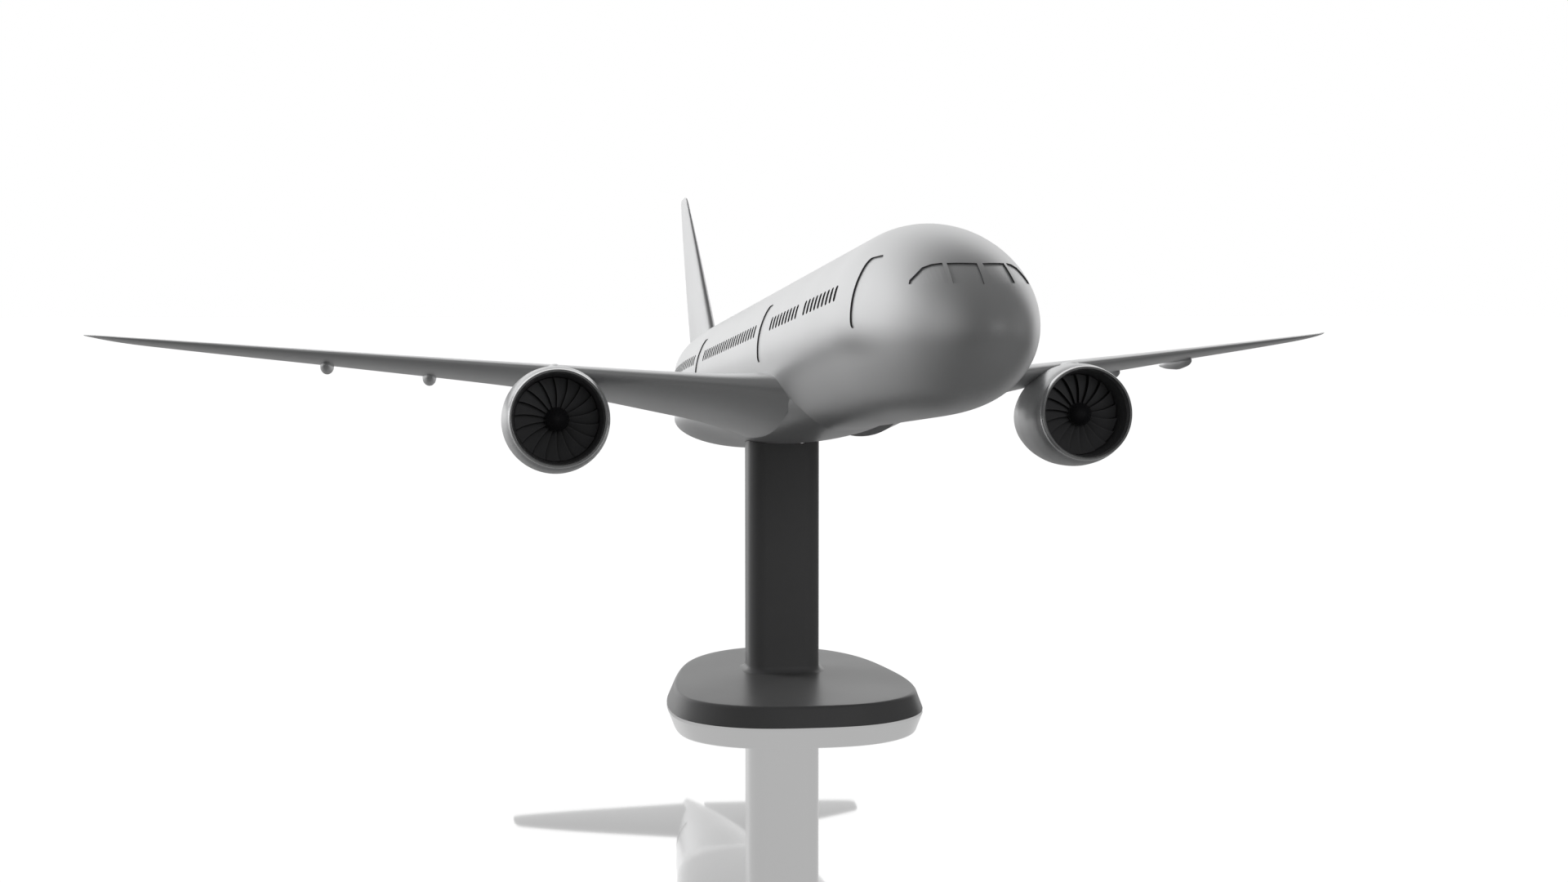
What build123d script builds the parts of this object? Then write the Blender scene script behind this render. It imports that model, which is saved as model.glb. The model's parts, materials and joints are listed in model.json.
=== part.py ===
from build123d import *
import os
from math import cos, radians, sin

# Desktop display model of a long-range twin-engine wide-body airliner on its stand, at 1:144.
#
# Part frame, in millimetres: the origin is on the table under the axis of the stand's column,
# +Z is up, the nose points towards -Y and the airliner's left (port) wing towards +X.
#
# The airliner is drawn level: X to the left wing, Y the station aft of the nose tip, Z the
# height over the fuselage's axis. Engine pieces are drawn on their own axis, +Z forward, with
# the intake plane at Z = 0. `on_stand` tips the level airliner nose-up onto the column.

# ---------------------------------------------------------------- driving dimensions
SCALE = 144
METRE = 1000 / SCALE                    # one metre of the full-size airliner

NOSE_UP = 5.2                           # pitch of the airliner on its stand, degrees
COLUMN_STATION = 33.48 * METRE          # station over the part frame's origin
COLUMN_DEPTH = 13.95 * METRE            # fuselage axis to table there, square to the fuselage

FUSELAGE_LENGTH = 62.8 * METRE
HALF_WIDTH = 2.88 * METRE
CROWN = 2.96 * METRE                    # top of the cabin section
KEEL = -3.15 * METRE                    # bottom of the cabin section
NOSE_LENGTH = 8.8 * METRE
NOSE_TIP_HEIGHT = -0.95 * METRE
TAIL_START = 40 * METRE
TAIL_TIP_TOP = 1.77 * METRE
TAIL_TIP_BOTTOM = 1.17 * METRE
TAIL_TIP_HALF_WIDTH = 0.22 * METRE
STRAIGHT_RUN = 8.0                      # of the nose and tail mouldings, next to the cabin
SHELL_WALL = 1.8
POCKET_DEPTH = 0.32                     # windows and doors are shallow pockets in the skin
SEAM_BOSS_RADIUS = 2.6
DOWEL_RADIUS = 1.0
DOWEL_LENGTH = 9.0

WINDOW_PITCH = 0.611 * METRE
WINDOW_WIDTH = 0.33 * METRE
WINDOW_TOP = 1.03 * METRE
WINDOW_BOTTOM = 0.53 * METRE
WINDOW_ROWS = ((8.30, 9), (14.63, 9), (23.07, 23), (39.71, 20))     # first station in metres, count
DOOR_REAR_EDGES = (6.27, 21.97, 38.67, 54.4)                        # stations in metres
DOOR_WIDTH = 1.07 * METRE
DOOR_TOP = 1.65 * METRE
DOOR_BOTTOM = -0.49 * METRE

# Cockpit panes of the left side seen from the front: X and height in metres.
WINDSCREEN_PANES = (
    ((0.08, 0.99), (0.84, 1.04), (0.90, 0.38), (0.13, 0.30)),
    ((0.94, 1.06), (1.20, 1.05), (1.42, 0.97), (1.76, 0.62), (1.80, 0.50), (1.00, 0.40)),
)
WINDSCREEN_REAR = 3.2 * METRE
SEAM_BOSS_STATIONS = (12, 18, 44, 50)   # metres

FAIRING_WIDEST_HEIGHT = -1.9 * METRE
FAIRING_UPPER_HEIGHT = 1.0 * METRE
# Belly fairing: station, half width and bottom, in metres of the full-size airliner.
FAIRING_SECTIONS = (
    (17.0, 1.70, -2.75),
    (20.0, 2.55, -3.12),
    (24.0, 3.10, -3.32),
    (28.5, 3.40, -3.38),
    (33.0, 3.35, -3.36),
    (38.5, 3.75, -3.36),
    (43.0, 3.20, -3.05),
    (47.0, 1.50, -1.95),
)

# Wing: span, leading edge station and height, chord, drop of the trailing edge, thickness ratio.
WING_SECTIONS = (
    (2.20, 18.6, -1.65, 12.6, 1.05, 0.125),
    (5.00, 20.9, -1.27, 10.2, 0.82, 0.120),
    (10.3, 25.2, -0.53, 7.20, 0.42, 0.110),
    (18.0, 31.3, 0.50, 4.80, 0.26, 0.100),
    (26.0, 37.7, 1.57, 2.90, 0.14, 0.090),
    (28.4, 39.9, 1.91, 2.20, 0.09, 0.080),
    (29.75, 41.6, 2.14, 1.30, 0.04, 0.070),
    (30.5, 43.2, 2.30, 0.35, 0.00, 0.060),
)
TAILPLANE_SECTIONS = (
    (0.60, 54.3, 0.45, 5.60, 0.00, 0.105),
    (9.80, 61.1, 1.80, 1.90, 0.00, 0.090),
    (10.18, 61.9, 1.86, 1.05, 0.00, 0.070),
)
# Fin: height, leading edge station, chord, thickness ratio.
FIN_SECTIONS = (
    (2.20, 50.9, 9.1, 0.095),
    (3.30, 52.03, 8.45, 0.095),
    (11.1, 60.5, 2.75, 0.090),
    (11.65, 61.3, 1.90, 0.070),
)

SPAR_STATION = 25.5 * METRE
SPAR_WIDTH = 8.0
SPAR_THICKNESS = 2.2
SPAR_HALF_SPAN = 7.4 * METRE
SPAR_HEIGHT = -1.95 * METRE
SPAR_KNEE = 2.9 * METRE                 # the spar's arms rise with the wing from here
SPAR_TIP_HEIGHT = -1.13 * METRE
SPAR_SCREW_SPACING = 16.0
SPAR_SCREW_RADIUS = 1.0
SPAR_SCREW_LENGTH = 5.6
SPAR_SCREW_HEAD = 1.9                   # head radius
SPAR_SCREW_HEAD_HEIGHT = 1.2
SADDLE_MARGIN = 4.0                     # round the screws and along the spar
SADDLE_DEPTH = 12.0                     # before it is cut to the shells
TAILPLANE_PIN_STATION = 56.6 * METRE
TAILPLANE_PIN_HEIGHT = 0.57 * METRE
TAILPLANE_PIN_RADIUS = 0.8
TAILPLANE_PIN_HALF_LENGTH = 2.0 * METRE

FLAP_FAIRING_SPANS = (8.4, 15.0, 19.3)  # metres
FLAP_FAIRING_LENGTH = 4.0 * METRE
FLAP_FAIRING_RADIUS = 0.30 * METRE
FLAP_FAIRING_GAP = 0.05                 # for glue, under the wing
FLAP_FAIRING_SHAPE = ((0, 0.05), (0.04, 0.38), (0.12, 0.70), (0.40, 1), (0.75, 0.64), (0.93, 0.25), (1, 0.05))

ENGINE_SPAN = 10.36 * METRE
ENGINE_STATION = 22.30 * METRE
ENGINE_HEIGHT = -2.51 * METRE
# Cowl: metres aft of the intake plane and outer radius in metres, lip joint to nozzle edge.
COWL_OUTSIDE = ((0.30, 1.82), (0.95, 1.97), (1.5, 2.01), (2.6, 1.79), (3.4, 1.57), (4.2, 1.38))
COWL_INSIDE = ((4.2, 1.31), (3.3, 1.45), (2.3, 1.62))
LIP_RADIUS = 1.71 * METRE
LIP_LENGTH = 0.30 * METRE
DUCT_RADIUS = 1.62 * METRE
FAN_FRONT = 0.95 * METRE                # behind the intake plane
FAN_LENGTH = 0.50 * METRE
FAN_BLADES = 18
FAN_TIP_GAP = 0.20
FAN_HUB_RADIUS = 0.46 * METRE
BLADE_THICKNESS = 0.40
BLADE_ROOT = 0.75                       # share of the hub's radius where the blades start
BLADE_STAGGER = (28, 47, 60)            # degrees at the root, half way and at the tip
SPINNER_LENGTH = 0.62 * METRE
FAN_SHAFT_RADIUS = 1.0
FAN_SHAFT_CLEARANCE = 0.05
STATOR_FRONT = 1.75 * METRE
STATOR_LENGTH = 0.50 * METRE
STATOR_VANES = 9
STATOR_RING = 0.6
VANE_THICKNESS = 0.7
BUSH_RADIUS = 2.0
COLLAR_LENGTH = 1.4
COLLAR_GAP = 0.25
CORE_FRONT_RADIUS = 1.00 * METRE
CORE_REAR_RADIUS = 0.66 * METRE
CORE_REAR = 5.60 * METRE
CORE_WALL = 0.90
PLUG_FRONT = 3.00 * METRE
PLUG_NECK = 5.20 * METRE
PLUG_RADIUS = 0.40 * METRE
PLUG_REAR = 6.50 * METRE
PYLON_THICKNESS = 0.46 * METRE
# Pylon side view, station and height in metres: over the cowl, under the wing, down to the core.
PYLON_OUTLINE = (
    (23.3, -0.70), (23.3, -0.52), (23.9, -0.38), (24.8, -0.34), (25.9, -0.45),
    (30.6, -0.85), (29.2, -1.35), (27.9, -1.91), (24.9, -1.57), (24.9, -0.75),
)

COLUMN_WIDTH = 19.9
COLUMN_LENGTH = 17.4
COLUMN_CORNER = 5.6
COLUMN_TOP = 90.0                       # before the belly's hollow is cut in it
COLUMN_FOOT = 1.8                       # how far the foot spreads past the column
COLUMN_FOOT_HEIGHT = 0.5
COLUMN_FOOT_FILLET = 1.3
COLUMN_GAP = 0.12                       # left under the belly
TONGUE_WIDTH = 10.0
TONGUE_LENGTH = 6.0
TONGUE_TOP = 92.0
TONGUE_BOTTOM = 50.0
TONGUE_CLEARANCE = 0.06
TONGUE_CHAMFER = 0.8
SOCKET_WIDTH = 15.0
SOCKET_LENGTH = 12.0
SOCKET_TOP = 95.0
SOCKET_FLANGE = 3.0                     # inside the shells, it keeps the socket from pulling out
SOCKET_FLANGE_TOP = 80.0

BASE_TOP = 5.9
BASE_BOTTOM = 0.3
BASE_FRONT = -59.4
BASE_REAR = 39.3
BASE_SIDE = (                           # height and spread of the sloping side, softened at the top
    (BASE_BOTTOM, 2.3),
    (BASE_TOP - 0.7, 0.25),
    (BASE_TOP - 0.2, -0.1),
    (BASE_TOP, -0.6),
)
BASE_WALL = 4.5
BASE_ROOF = 1.9
BASE_GAP = 0.35                         # round the posts and screw heads
BASE_INNER_FIT = 0.99                   # pad, cover and ballast over the hollow they sit in
PAD_THICKNESS = 0.9
COVER_THICKNESS = 1.0
COVER_SCREWS = ((-17, -40), (17, -40), (-15, 22), (15, 22))
COVER_SCREW_RADIUS = 1.0
COVER_SCREW_HEAD = 1.8                  # head radius
COVER_SCREW_LENGTH = 3.9
COVER_SCREW_POST = 2.5                  # radius of the posts the cover screws bite into
POST_SCREWS = ((0, -4.5), (0, 4.5))
POST_SCREW_RADIUS = 1.5
POST_SCREW_HEAD = 2.7                   # head radius
POST_SCREW_HEAD_HEIGHT = 1.7
POST_SCREW_BITE = 10.0                  # length inside the column
SCREW_BOTTOM_GAP = 1.0                  # left over each screw's tip


# ---------------------------------------------------------------- placing and writing
def write_piece(piece, name, place=Location()):
    """One sub-part in its place in the part frame, as its own file."""
    placed = piece.moved(place)
    placed.label = name
    export_step(placed, f"parts/{name}.step")


def metres(*values):
    """Full-size metres as model millimetres."""
    return tuple(value * METRE for value in values)


os.makedirs("parts", exist_ok=True)

on_stand = (
    Location((0, 0, 0), (-NOSE_UP, 0, 0))
    * Location((0, -COLUMN_STATION, COLUMN_DEPTH))
)
level_from_stand = on_stand.inverse()


def across(centre):
    """Plane across the fuselage: its X is to the left wing and its Y is down, seen from the nose."""
    return Plane(origin=centre, x_dir=(1, 0, 0), z_dir=(0, 1, 0))


def facing_nose(station):
    """Plane across the fuselage that faces the nose: its X is to the left wing and its Y is up."""
    return Plane(origin=(0, station, 0), x_dir=(1, 0, 0), z_dir=(0, -1, 0))


def engine_place(side):
    """Engine frame to level airliner frame, side being +1 for left and -1 for right."""
    return Location((side * ENGINE_SPAN, ENGINE_STATION, ENGINE_HEIGHT), (90, 0, 0))


# ---------------------------------------------------------------- fuselage form
def swell(share, fullness, bluntness):
    """0 at the tip to 1 where the nose meets the cabin."""
    return (1 - (1 - share) ** fullness) ** (1 / bluntness)


def fuselage_section(station):
    """Half width, top and bottom of the skin at a station."""
    if station < NOSE_LENGTH:
        share = station / NOSE_LENGTH
        half_width = HALF_WIDTH * swell(share, 2, 2)
        top = NOSE_TIP_HEIGHT + (CROWN - NOSE_TIP_HEIGHT) * swell(share, 1.8, 1.6)
        bottom = NOSE_TIP_HEIGHT + (KEEL - NOSE_TIP_HEIGHT) * swell(share, 3.7, 2)
    elif station < TAIL_START:
        half_width, top, bottom = HALF_WIDTH, CROWN, KEEL
    else:
        share = (station - TAIL_START) / (FUSELAGE_LENGTH - TAIL_START)
        half_width = HALF_WIDTH + (TAIL_TIP_HALF_WIDTH - HALF_WIDTH) * share ** 1.82
        top = CROWN + (TAIL_TIP_TOP - CROWN) * share ** 3.4
        bottom = KEEL + (TAIL_TIP_BOTTOM - KEEL) * share ** 1.42
    return half_width, top, bottom


def fuselage_loft(stations, inset):
    """Smooth solid through the elliptic sections at these stations, `inset` inside the skin."""
    with BuildPart() as body:
        for station in stations:
            half_width, top, bottom = fuselage_section(station)
            with BuildSketch(across((0, station, (top + bottom) / 2))):
                Ellipse(half_width - inset, (top - bottom) / 2 - inset)
        loft()
    return body.part


def fuselage_form(inset, front, rear):
    """Nose, cabin and tail of the fuselage as three solids that meet end to end."""
    nose_steps, tail_steps = 9, 7
    nose = [front + (NOSE_LENGTH - front) * (step / nose_steps) ** 2.2 for step in range(nose_steps + 1)]
    tail = [TAIL_START + (rear - TAIL_START) * step / tail_steps for step in range(tail_steps + 1)]
    cabin_start = NOSE_LENGTH + STRAIGHT_RUN
    cabin_end = TAIL_START - STRAIGHT_RUN
    with BuildPart() as cabin:
        with BuildSketch(across((0, cabin_start, (CROWN + KEEL) / 2))):
            Ellipse(HALF_WIDTH - inset, (CROWN - KEEL) / 2 - inset)
        extrude(amount=cabin_end - cabin_start)
    return (
        fuselage_loft(nose + [cabin_start], inset),
        cabin.part,
        fuselage_loft([cabin_end, TAIL_START - STRAIGHT_RUN / 2] + tail, inset),
    )


skin = fuselage_form(0, front=0.006 * METRE, rear=FUSELAGE_LENGTH)
pocket_floor = fuselage_form(POCKET_DEPTH, front=0.2 * METRE, rear=60 * METRE)
cavity = fuselage_form(SHELL_WALL, front=1.1 * METRE, rear=59 * METRE)


# ---------------------------------------------------------------- aerofoils
def thickness_at(share):
    """Half thickness of a 100 % thick symmetric aerofoil at a share of the chord."""
    return 5 * (
        0.2969 * share ** 0.5 - 0.1260 * share - 0.3516 * share ** 2
        + 0.2843 * share ** 3 - 0.1036 * share ** 4
    )


def aerofoil_side(leading, chord, drop, ratio, side):
    """Points of the upper (side +1) or lower (side -1) surface, leading edge first."""
    shares = (0, 0.012, 0.05, 0.12, 0.25, 0.42, 0.62, 0.82, 1)
    points = []
    for share in shares:
        height = side * max(thickness_at(share), 0) * ratio * chord
        points.append((leading[0] + share * chord, leading[1] - share * drop + height))
    return points


def along(span):
    """Upright plane along the fuselage at a span: its X is aft and its Y is up."""
    return Plane(origin=(span, 0, 0), x_dir=(0, 1, 0), z_dir=(1, 0, 0))


def wing_half(hand, side):
    """Upper (side +1) or lower (side -1) half of the left (hand +1) or right (hand -1) wing."""
    with BuildPart() as half:
        for span, station, height, chord, drop, ratio in WING_SECTIONS:
            leading = metres(station, height)
            points = aerofoil_side(leading, chord * METRE, drop * METRE, ratio, side)
            with BuildSketch(along(hand * span * METRE)):
                with BuildLine():
                    surface = Spline(*points)
                    Line(surface @ 1, surface @ 0)
                make_face()
        loft(ruled=True)
    return half.part


def surface_loft(sections):
    """Closed aerofoil surface through (plane, leading edge, chord, ratio) sections."""
    with BuildPart() as surface:
        for plane, leading, chord, ratio in sections:
            upper = aerofoil_side(leading, chord, 0, ratio, 1)
            lower = aerofoil_side(leading, chord, 0, ratio, -1)
            with BuildSketch(plane):
                with BuildLine():
                    Spline(*upper)
                    Spline(*lower)
                make_face()
        loft(ruled=True)
    return surface.part


def tailplane(hand):
    """One horizontal tail surface."""
    sections = []
    for span, station, height, chord, _, ratio in TAILPLANE_SECTIONS:
        sections.append((along(hand * span * METRE), metres(station, height), chord * METRE, ratio))
    return surface_loft(sections)


wings = {(hand, side): wing_half(hand, side) for hand in (1, -1) for side in (1, -1)}
tailplanes = {hand: tailplane(hand) for hand in (1, -1)}
fin = surface_loft([
    (Plane((0, 0, height * METRE), x_dir=(0, 1, 0), z_dir=(0, 0, 1)),
     (station * METRE, 0), chord * METRE, ratio)
    for height, station, chord, ratio in FIN_SECTIONS
])


# ---------------------------------------------------------------- flap-track fairings
def under_wing(hand, span, share):
    """Point of a wing's lower surface at a span in metres and a share of the chord."""
    for inner, outer in zip(WING_SECTIONS, WING_SECTIONS[1:]):
        if span <= outer[0]:
            outward = (span - inner[0]) / (outer[0] - inner[0])
            ends = []
            for _, station, height, chord, drop, ratio in (inner, outer):
                depth = thickness_at(share) * ratio * chord
                ends.append(Vector(0, station + share * chord, height - share * drop - depth))
            return METRE * (Vector(hand * span, 0, 0) + ends[0] + (ends[1] - ends[0]) * outward)


def flap_fairing(hand, span):
    """One pod that hangs under the trailing edge of a wing, flat where it is glued on."""
    trailing_edge = under_wing(hand, span, 1)
    nose = trailing_edge - Vector(0, 0.8 * FLAP_FAIRING_LENGTH, 0.5 * FLAP_FAIRING_RADIUS)
    aft = under_wing(hand, span, 0.90) - under_wing(hand, span, 0.62)
    outward = under_wing(hand, span + 0.5, 0.76) - under_wing(hand, span - 0.5, 0.76)
    seat = under_wing(hand, span, 0.76) - Vector(0, 0, FLAP_FAIRING_GAP)
    with BuildPart() as pod:
        for share, swelling in FLAP_FAIRING_SHAPE:
            centre = nose + Vector(0, share * FLAP_FAIRING_LENGTH, 0)
            with BuildSketch(Plane(centre, x_dir=(0, 0, -1), z_dir=(0, 1, 0))):
                Circle(swelling * FLAP_FAIRING_RADIUS)
        loft()
        split(bisect_by=Plane(seat, x_dir=aft, z_dir=outward.cross(aft) * hand), keep=Keep.BOTTOM)
    return pod.part


def flap_fairings(hand):
    """The pods of one wing."""
    with BuildPart() as pods:
        for span in FLAP_FAIRING_SPANS:
            add(flap_fairing(hand, span))
    return pods.part


flap_pods = {hand: flap_fairings(hand) for hand in (1, -1)}


# ---------------------------------------------------------------- belly fairing form
with BuildPart() as fairing_form:
    for station, half_width, bottom in FAIRING_SECTIONS:
        centre = (0, station * METRE, FAIRING_WIDEST_HEIGHT)
        depth = FAIRING_WIDEST_HEIGHT - bottom * METRE
        with BuildSketch(across(centre)):
            with BuildLine():
                EllipticalCenterArc((0, 0), half_width * METRE, depth, 0, arc_size=180)
                EllipticalCenterArc((0, 0), half_width * METRE, FAIRING_UPPER_HEIGHT, 180, arc_size=180)
            make_face()
    loft()


# ---------------------------------------------------------------- stand
def base_outline(spread):
    """Shield-shaped outline of the base, broad under the nose, `spread` outside the top edge."""
    half = ((0, BASE_FRONT), (19, -56.6), (31.5, -45), (34.4, -32), (31.6, -2), (24.3, 22), (12.5, 36),
            (0, BASE_REAR))
    middle = (BASE_FRONT + BASE_REAR) / 2
    points = []
    for x, y in half:
        reach = (x ** 2 + (y - middle) ** 2) ** 0.5
        points.append((x * (1 + spread / reach), middle + (y - middle) * (1 + spread / reach)))
    with BuildSketch() as outline:
        with BuildLine():
            Spline(*points, tangents=((1, 0), (-1, 0)), tangent_scalars=(1, 0.5))
            mirror(about=Plane.YZ)
        make_face()
    return outline.sketch


def column_outline(grow):
    """Rounded rectangle of the column, grown outwards."""
    with BuildSketch() as outline:
        RectangleRounded(COLUMN_WIDTH + 2 * grow, COLUMN_LENGTH + 2 * grow, COLUMN_CORNER + grow)
    return outline.sketch


cavity_top = BASE_TOP - BASE_ROOF
ballast_bottom = PAD_THICKNESS + COVER_THICKNESS
upwards = (Align.CENTER, Align.CENTER, Align.MIN)
downwards = (Align.CENTER, Align.CENTER, Align.MAX)

with BuildPart() as stand_base:
    for height, spread in BASE_SIDE:
        with BuildSketch(Plane.XY.offset(height)):
            add(base_outline(spread))
    loft(ruled=True)
    with BuildSketch(Plane.XY.offset(BASE_BOTTOM)):
        add(base_outline(-BASE_WALL))
    extrude(amount=cavity_top - BASE_BOTTOM, mode=Mode.SUBTRACT)
    with BuildSketch(Plane.XY.offset(ballast_bottom)):
        with Locations(*COVER_SCREWS):
            Circle(COVER_SCREW_POST)
    extrude(amount=cavity_top - ballast_bottom)
    screw_reach = PAD_THICKNESS + COVER_SCREW_LENGTH + SCREW_BOTTOM_GAP / 4 - ballast_bottom
    with Locations(*[(x, y, ballast_bottom) for x, y in COVER_SCREWS]):
        Cylinder(COVER_SCREW_RADIUS, screw_reach, align=upwards, mode=Mode.SUBTRACT)
    with Locations(*POST_SCREWS):
        Hole(POST_SCREW_RADIUS)

with BuildPart() as base_ballast:
    with BuildSketch(Plane.XY.offset(ballast_bottom)):
        add(scale(base_outline(-BASE_WALL), by=BASE_INNER_FIT))
        with Locations(*COVER_SCREWS):
            Circle(COVER_SCREW_POST + BASE_GAP, mode=Mode.SUBTRACT)
        with Locations(*POST_SCREWS):
            Circle(POST_SCREW_HEAD + BASE_GAP, mode=Mode.SUBTRACT)
    extrude(amount=cavity_top - ballast_bottom)

with BuildPart() as base_cover:
    with BuildSketch(Plane.XY.offset(PAD_THICKNESS)):
        add(scale(base_outline(-BASE_WALL), by=BASE_INNER_FIT))
    extrude(amount=COVER_THICKNESS)
    with Locations(*[Location((x, y, PAD_THICKNESS), (180, 0, 0)) for x, y in COVER_SCREWS]):
        CounterSinkHole(COVER_SCREW_RADIUS, COVER_SCREW_HEAD, counter_sink_angle=90)

with BuildPart() as base_cover_screws:
    with Locations(*[(x, y, PAD_THICKNESS) for x, y in COVER_SCREWS]):
        Cylinder(COVER_SCREW_RADIUS, COVER_SCREW_LENGTH, align=upwards)
        Cone(COVER_SCREW_HEAD, COVER_SCREW_RADIUS, COVER_SCREW_HEAD - COVER_SCREW_RADIUS, align=upwards)
        Box(COVER_SCREW_HEAD, 0.5, 0.4, align=upwards, mode=Mode.SUBTRACT)

with BuildPart() as base_pad:
    with BuildSketch():
        add(scale(base_outline(-BASE_WALL), by=BASE_INNER_FIT))
    extrude(amount=PAD_THICKNESS)

with BuildPart() as stand_post:
    with BuildSketch(Plane.XY.offset(BASE_TOP)):
        add(column_outline(0))
    extrude(amount=COLUMN_TOP - BASE_TOP)
    with BuildSketch(Plane.XY.offset(BASE_TOP)):
        add(column_outline(COLUMN_FOOT))
    extrude(amount=COLUMN_FOOT_HEIGHT)
    foot_edge = stand_post.faces().filter_by(Axis.Z).sort_by(Axis.Z)[1].inner_wires()[0].edges()
    fillet(foot_edge, COLUMN_FOOT_FILLET)
    under_belly = on_stand * Location((0, 0, -COLUMN_GAP))
    add(fairing_form.part.moved(under_belly), mode=Mode.SUBTRACT)
    add(skin[1].moved(under_belly), mode=Mode.SUBTRACT)
    with BuildSketch(Plane.XY.offset(TONGUE_BOTTOM)):
        Rectangle(TONGUE_WIDTH, TONGUE_LENGTH)
    extrude(amount=TONGUE_TOP - TONGUE_BOTTOM, mode=Mode.SUBTRACT)
    with Locations(*[(x, y, BASE_TOP) for x, y in POST_SCREWS]):
        Cylinder(POST_SCREW_RADIUS, POST_SCREW_BITE + SCREW_BOTTOM_GAP, align=upwards, mode=Mode.SUBTRACT)
stand_post_column = stand_post.part.solids().sort_by(Axis.Z)[0]

with BuildPart() as post_screws:
    with Locations(*[(x, y, cavity_top) for x, y in POST_SCREWS]):
        Cylinder(POST_SCREW_RADIUS, BASE_TOP + POST_SCREW_BITE - cavity_top, align=upwards)
        Cylinder(POST_SCREW_HEAD, POST_SCREW_HEAD_HEIGHT, align=downwards)

with BuildPart() as stand_tongue:
    with BuildSketch(Plane.XY.offset(TONGUE_BOTTOM)):
        Rectangle(TONGUE_WIDTH, TONGUE_LENGTH)
    extrude(amount=TONGUE_TOP - TONGUE_BOTTOM)
    chamfer(stand_tongue.faces().sort_by(Axis.Z)[-1].edges(), TONGUE_CHAMFER)

write_piece(stand_base.part, "stand_base")
write_piece(base_ballast.part, "base_ballast")
write_piece(base_cover.part, "base_cover")
write_piece(base_cover_screws.part, "base_cover_screws")
write_piece(base_pad.part, "base_pad")
write_piece(stand_post_column, "stand_post")
write_piece(post_screws.part, "post_screws")
write_piece(stand_tongue.part, "stand_tongue")


# ---------------------------------------------------------------- wing spar and its saddle
spar_line = (
    (-SPAR_HALF_SPAN, SPAR_TIP_HEIGHT), (-SPAR_KNEE, SPAR_HEIGHT),
    (SPAR_KNEE, SPAR_HEIGHT), (SPAR_HALF_SPAN, SPAR_TIP_HEIGHT),
)
spar_outline = [(x, z + SPAR_THICKNESS / 2) for x, z in spar_line]
spar_outline += [(x, z - SPAR_THICKNESS / 2) for x, z in reversed(spar_line)]
spar_screw_spots = [
    (side * SPAR_SCREW_SPACING / 2, SPAR_STATION, SPAR_HEIGHT + SPAR_THICKNESS / 2) for side in (1, -1)
]

with BuildPart() as spar_screws:
    with Locations(*spar_screw_spots):
        Cylinder(SPAR_SCREW_RADIUS, SPAR_SCREW_LENGTH, align=downwards)
        Cylinder(SPAR_SCREW_HEAD, SPAR_SCREW_HEAD_HEIGHT, align=upwards)

with BuildPart() as wing_spar:
    with BuildSketch(facing_nose(SPAR_STATION - SPAR_WIDTH / 2)):
        with BuildLine():
            Polyline(*spar_outline, close=True)
        make_face()
    extrude(amount=-SPAR_WIDTH)
    add(spar_screws.part, mode=Mode.SUBTRACT)

with BuildPart() as spar_saddle:
    with Locations((0, SPAR_STATION, SPAR_HEIGHT - SPAR_THICKNESS / 2)):
        Box(SPAR_SCREW_SPACING + 2 * SADDLE_MARGIN, SPAR_WIDTH + SADDLE_MARGIN, SADDLE_DEPTH, align=downwards)
    add(cavity[1], mode=Mode.INTERSECT)
    add(spar_screws.part, mode=Mode.SUBTRACT)


# ---------------------------------------------------------------- stand socket
socket_column = Pos(0, 0, SOCKET_TOP / 2) * Box(SOCKET_WIDTH, SOCKET_LENGTH, SOCKET_TOP)
socket_flange = Pos(0, 0, SOCKET_TOP / 2) * Box(
    SOCKET_WIDTH + 2 * SOCKET_FLANGE, SOCKET_LENGTH + 2 * SOCKET_FLANGE, 2 * (SOCKET_FLANGE_TOP - SOCKET_TOP / 2)
)
tongue_slot = Pos(0, 0, TONGUE_TOP / 2) * Box(
    TONGUE_WIDTH + 2 * TONGUE_CLEARANCE, TONGUE_LENGTH + 2 * TONGUE_CLEARANCE, TONGUE_TOP + 1
)
socket_opening = socket_column.moved(level_from_stand)

with BuildPart() as stand_socket:
    add(skin[1])
    add(fairing_form.part)
    add(socket_opening, mode=Mode.INTERSECT)
    add(cavity[1] & socket_flange.moved(level_from_stand))
    add(tongue_slot.moved(level_from_stand), mode=Mode.SUBTRACT)


# ---------------------------------------------------------------- fuselage shells
def skin_plane(station, height):
    """Plane on the left skin, facing out: its X runs aft."""
    def half_width_at(place):
        half_width, top, bottom = fuselage_section(place)
        share = (height - (top + bottom) / 2) / ((top - bottom) / 2)
        return half_width * (1 - share ** 2) ** 0.5

    half_width, top, bottom = fuselage_section(station)
    x = half_width_at(station)
    aft = Vector(half_width_at(station + 0.5) - half_width_at(station - 0.5), 1, 0).normalized()
    upright = (height - (top + bottom) / 2) / ((top - bottom) / 2) ** 2
    outward = Vector(x / half_width ** 2, 0, upright)
    outward = (outward - aft * outward.dot(aft)).normalized()
    return Plane(origin=(x, station, height), x_dir=aft, z_dir=outward)


def window_cutters(first_station, last_station):
    """One rounded block for each cabin window between two stations, sunk in the left skin."""
    height = (WINDOW_TOP + WINDOW_BOTTOM) / 2
    with BuildPart() as cutters:
        for first, count in WINDOW_ROWS:
            for index in range(count):
                station = first * METRE + index * WINDOW_PITCH
                if first_station < station < last_station:
                    with BuildSketch(skin_plane(station, height).offset(-POCKET_DEPTH)):
                        RectangleRounded(WINDOW_WIDTH, WINDOW_TOP - WINDOW_BOTTOM, 0.3 * WINDOW_WIDTH)
        extrude(amount=4 * POCKET_DEPTH)
    return cutters.part


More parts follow.
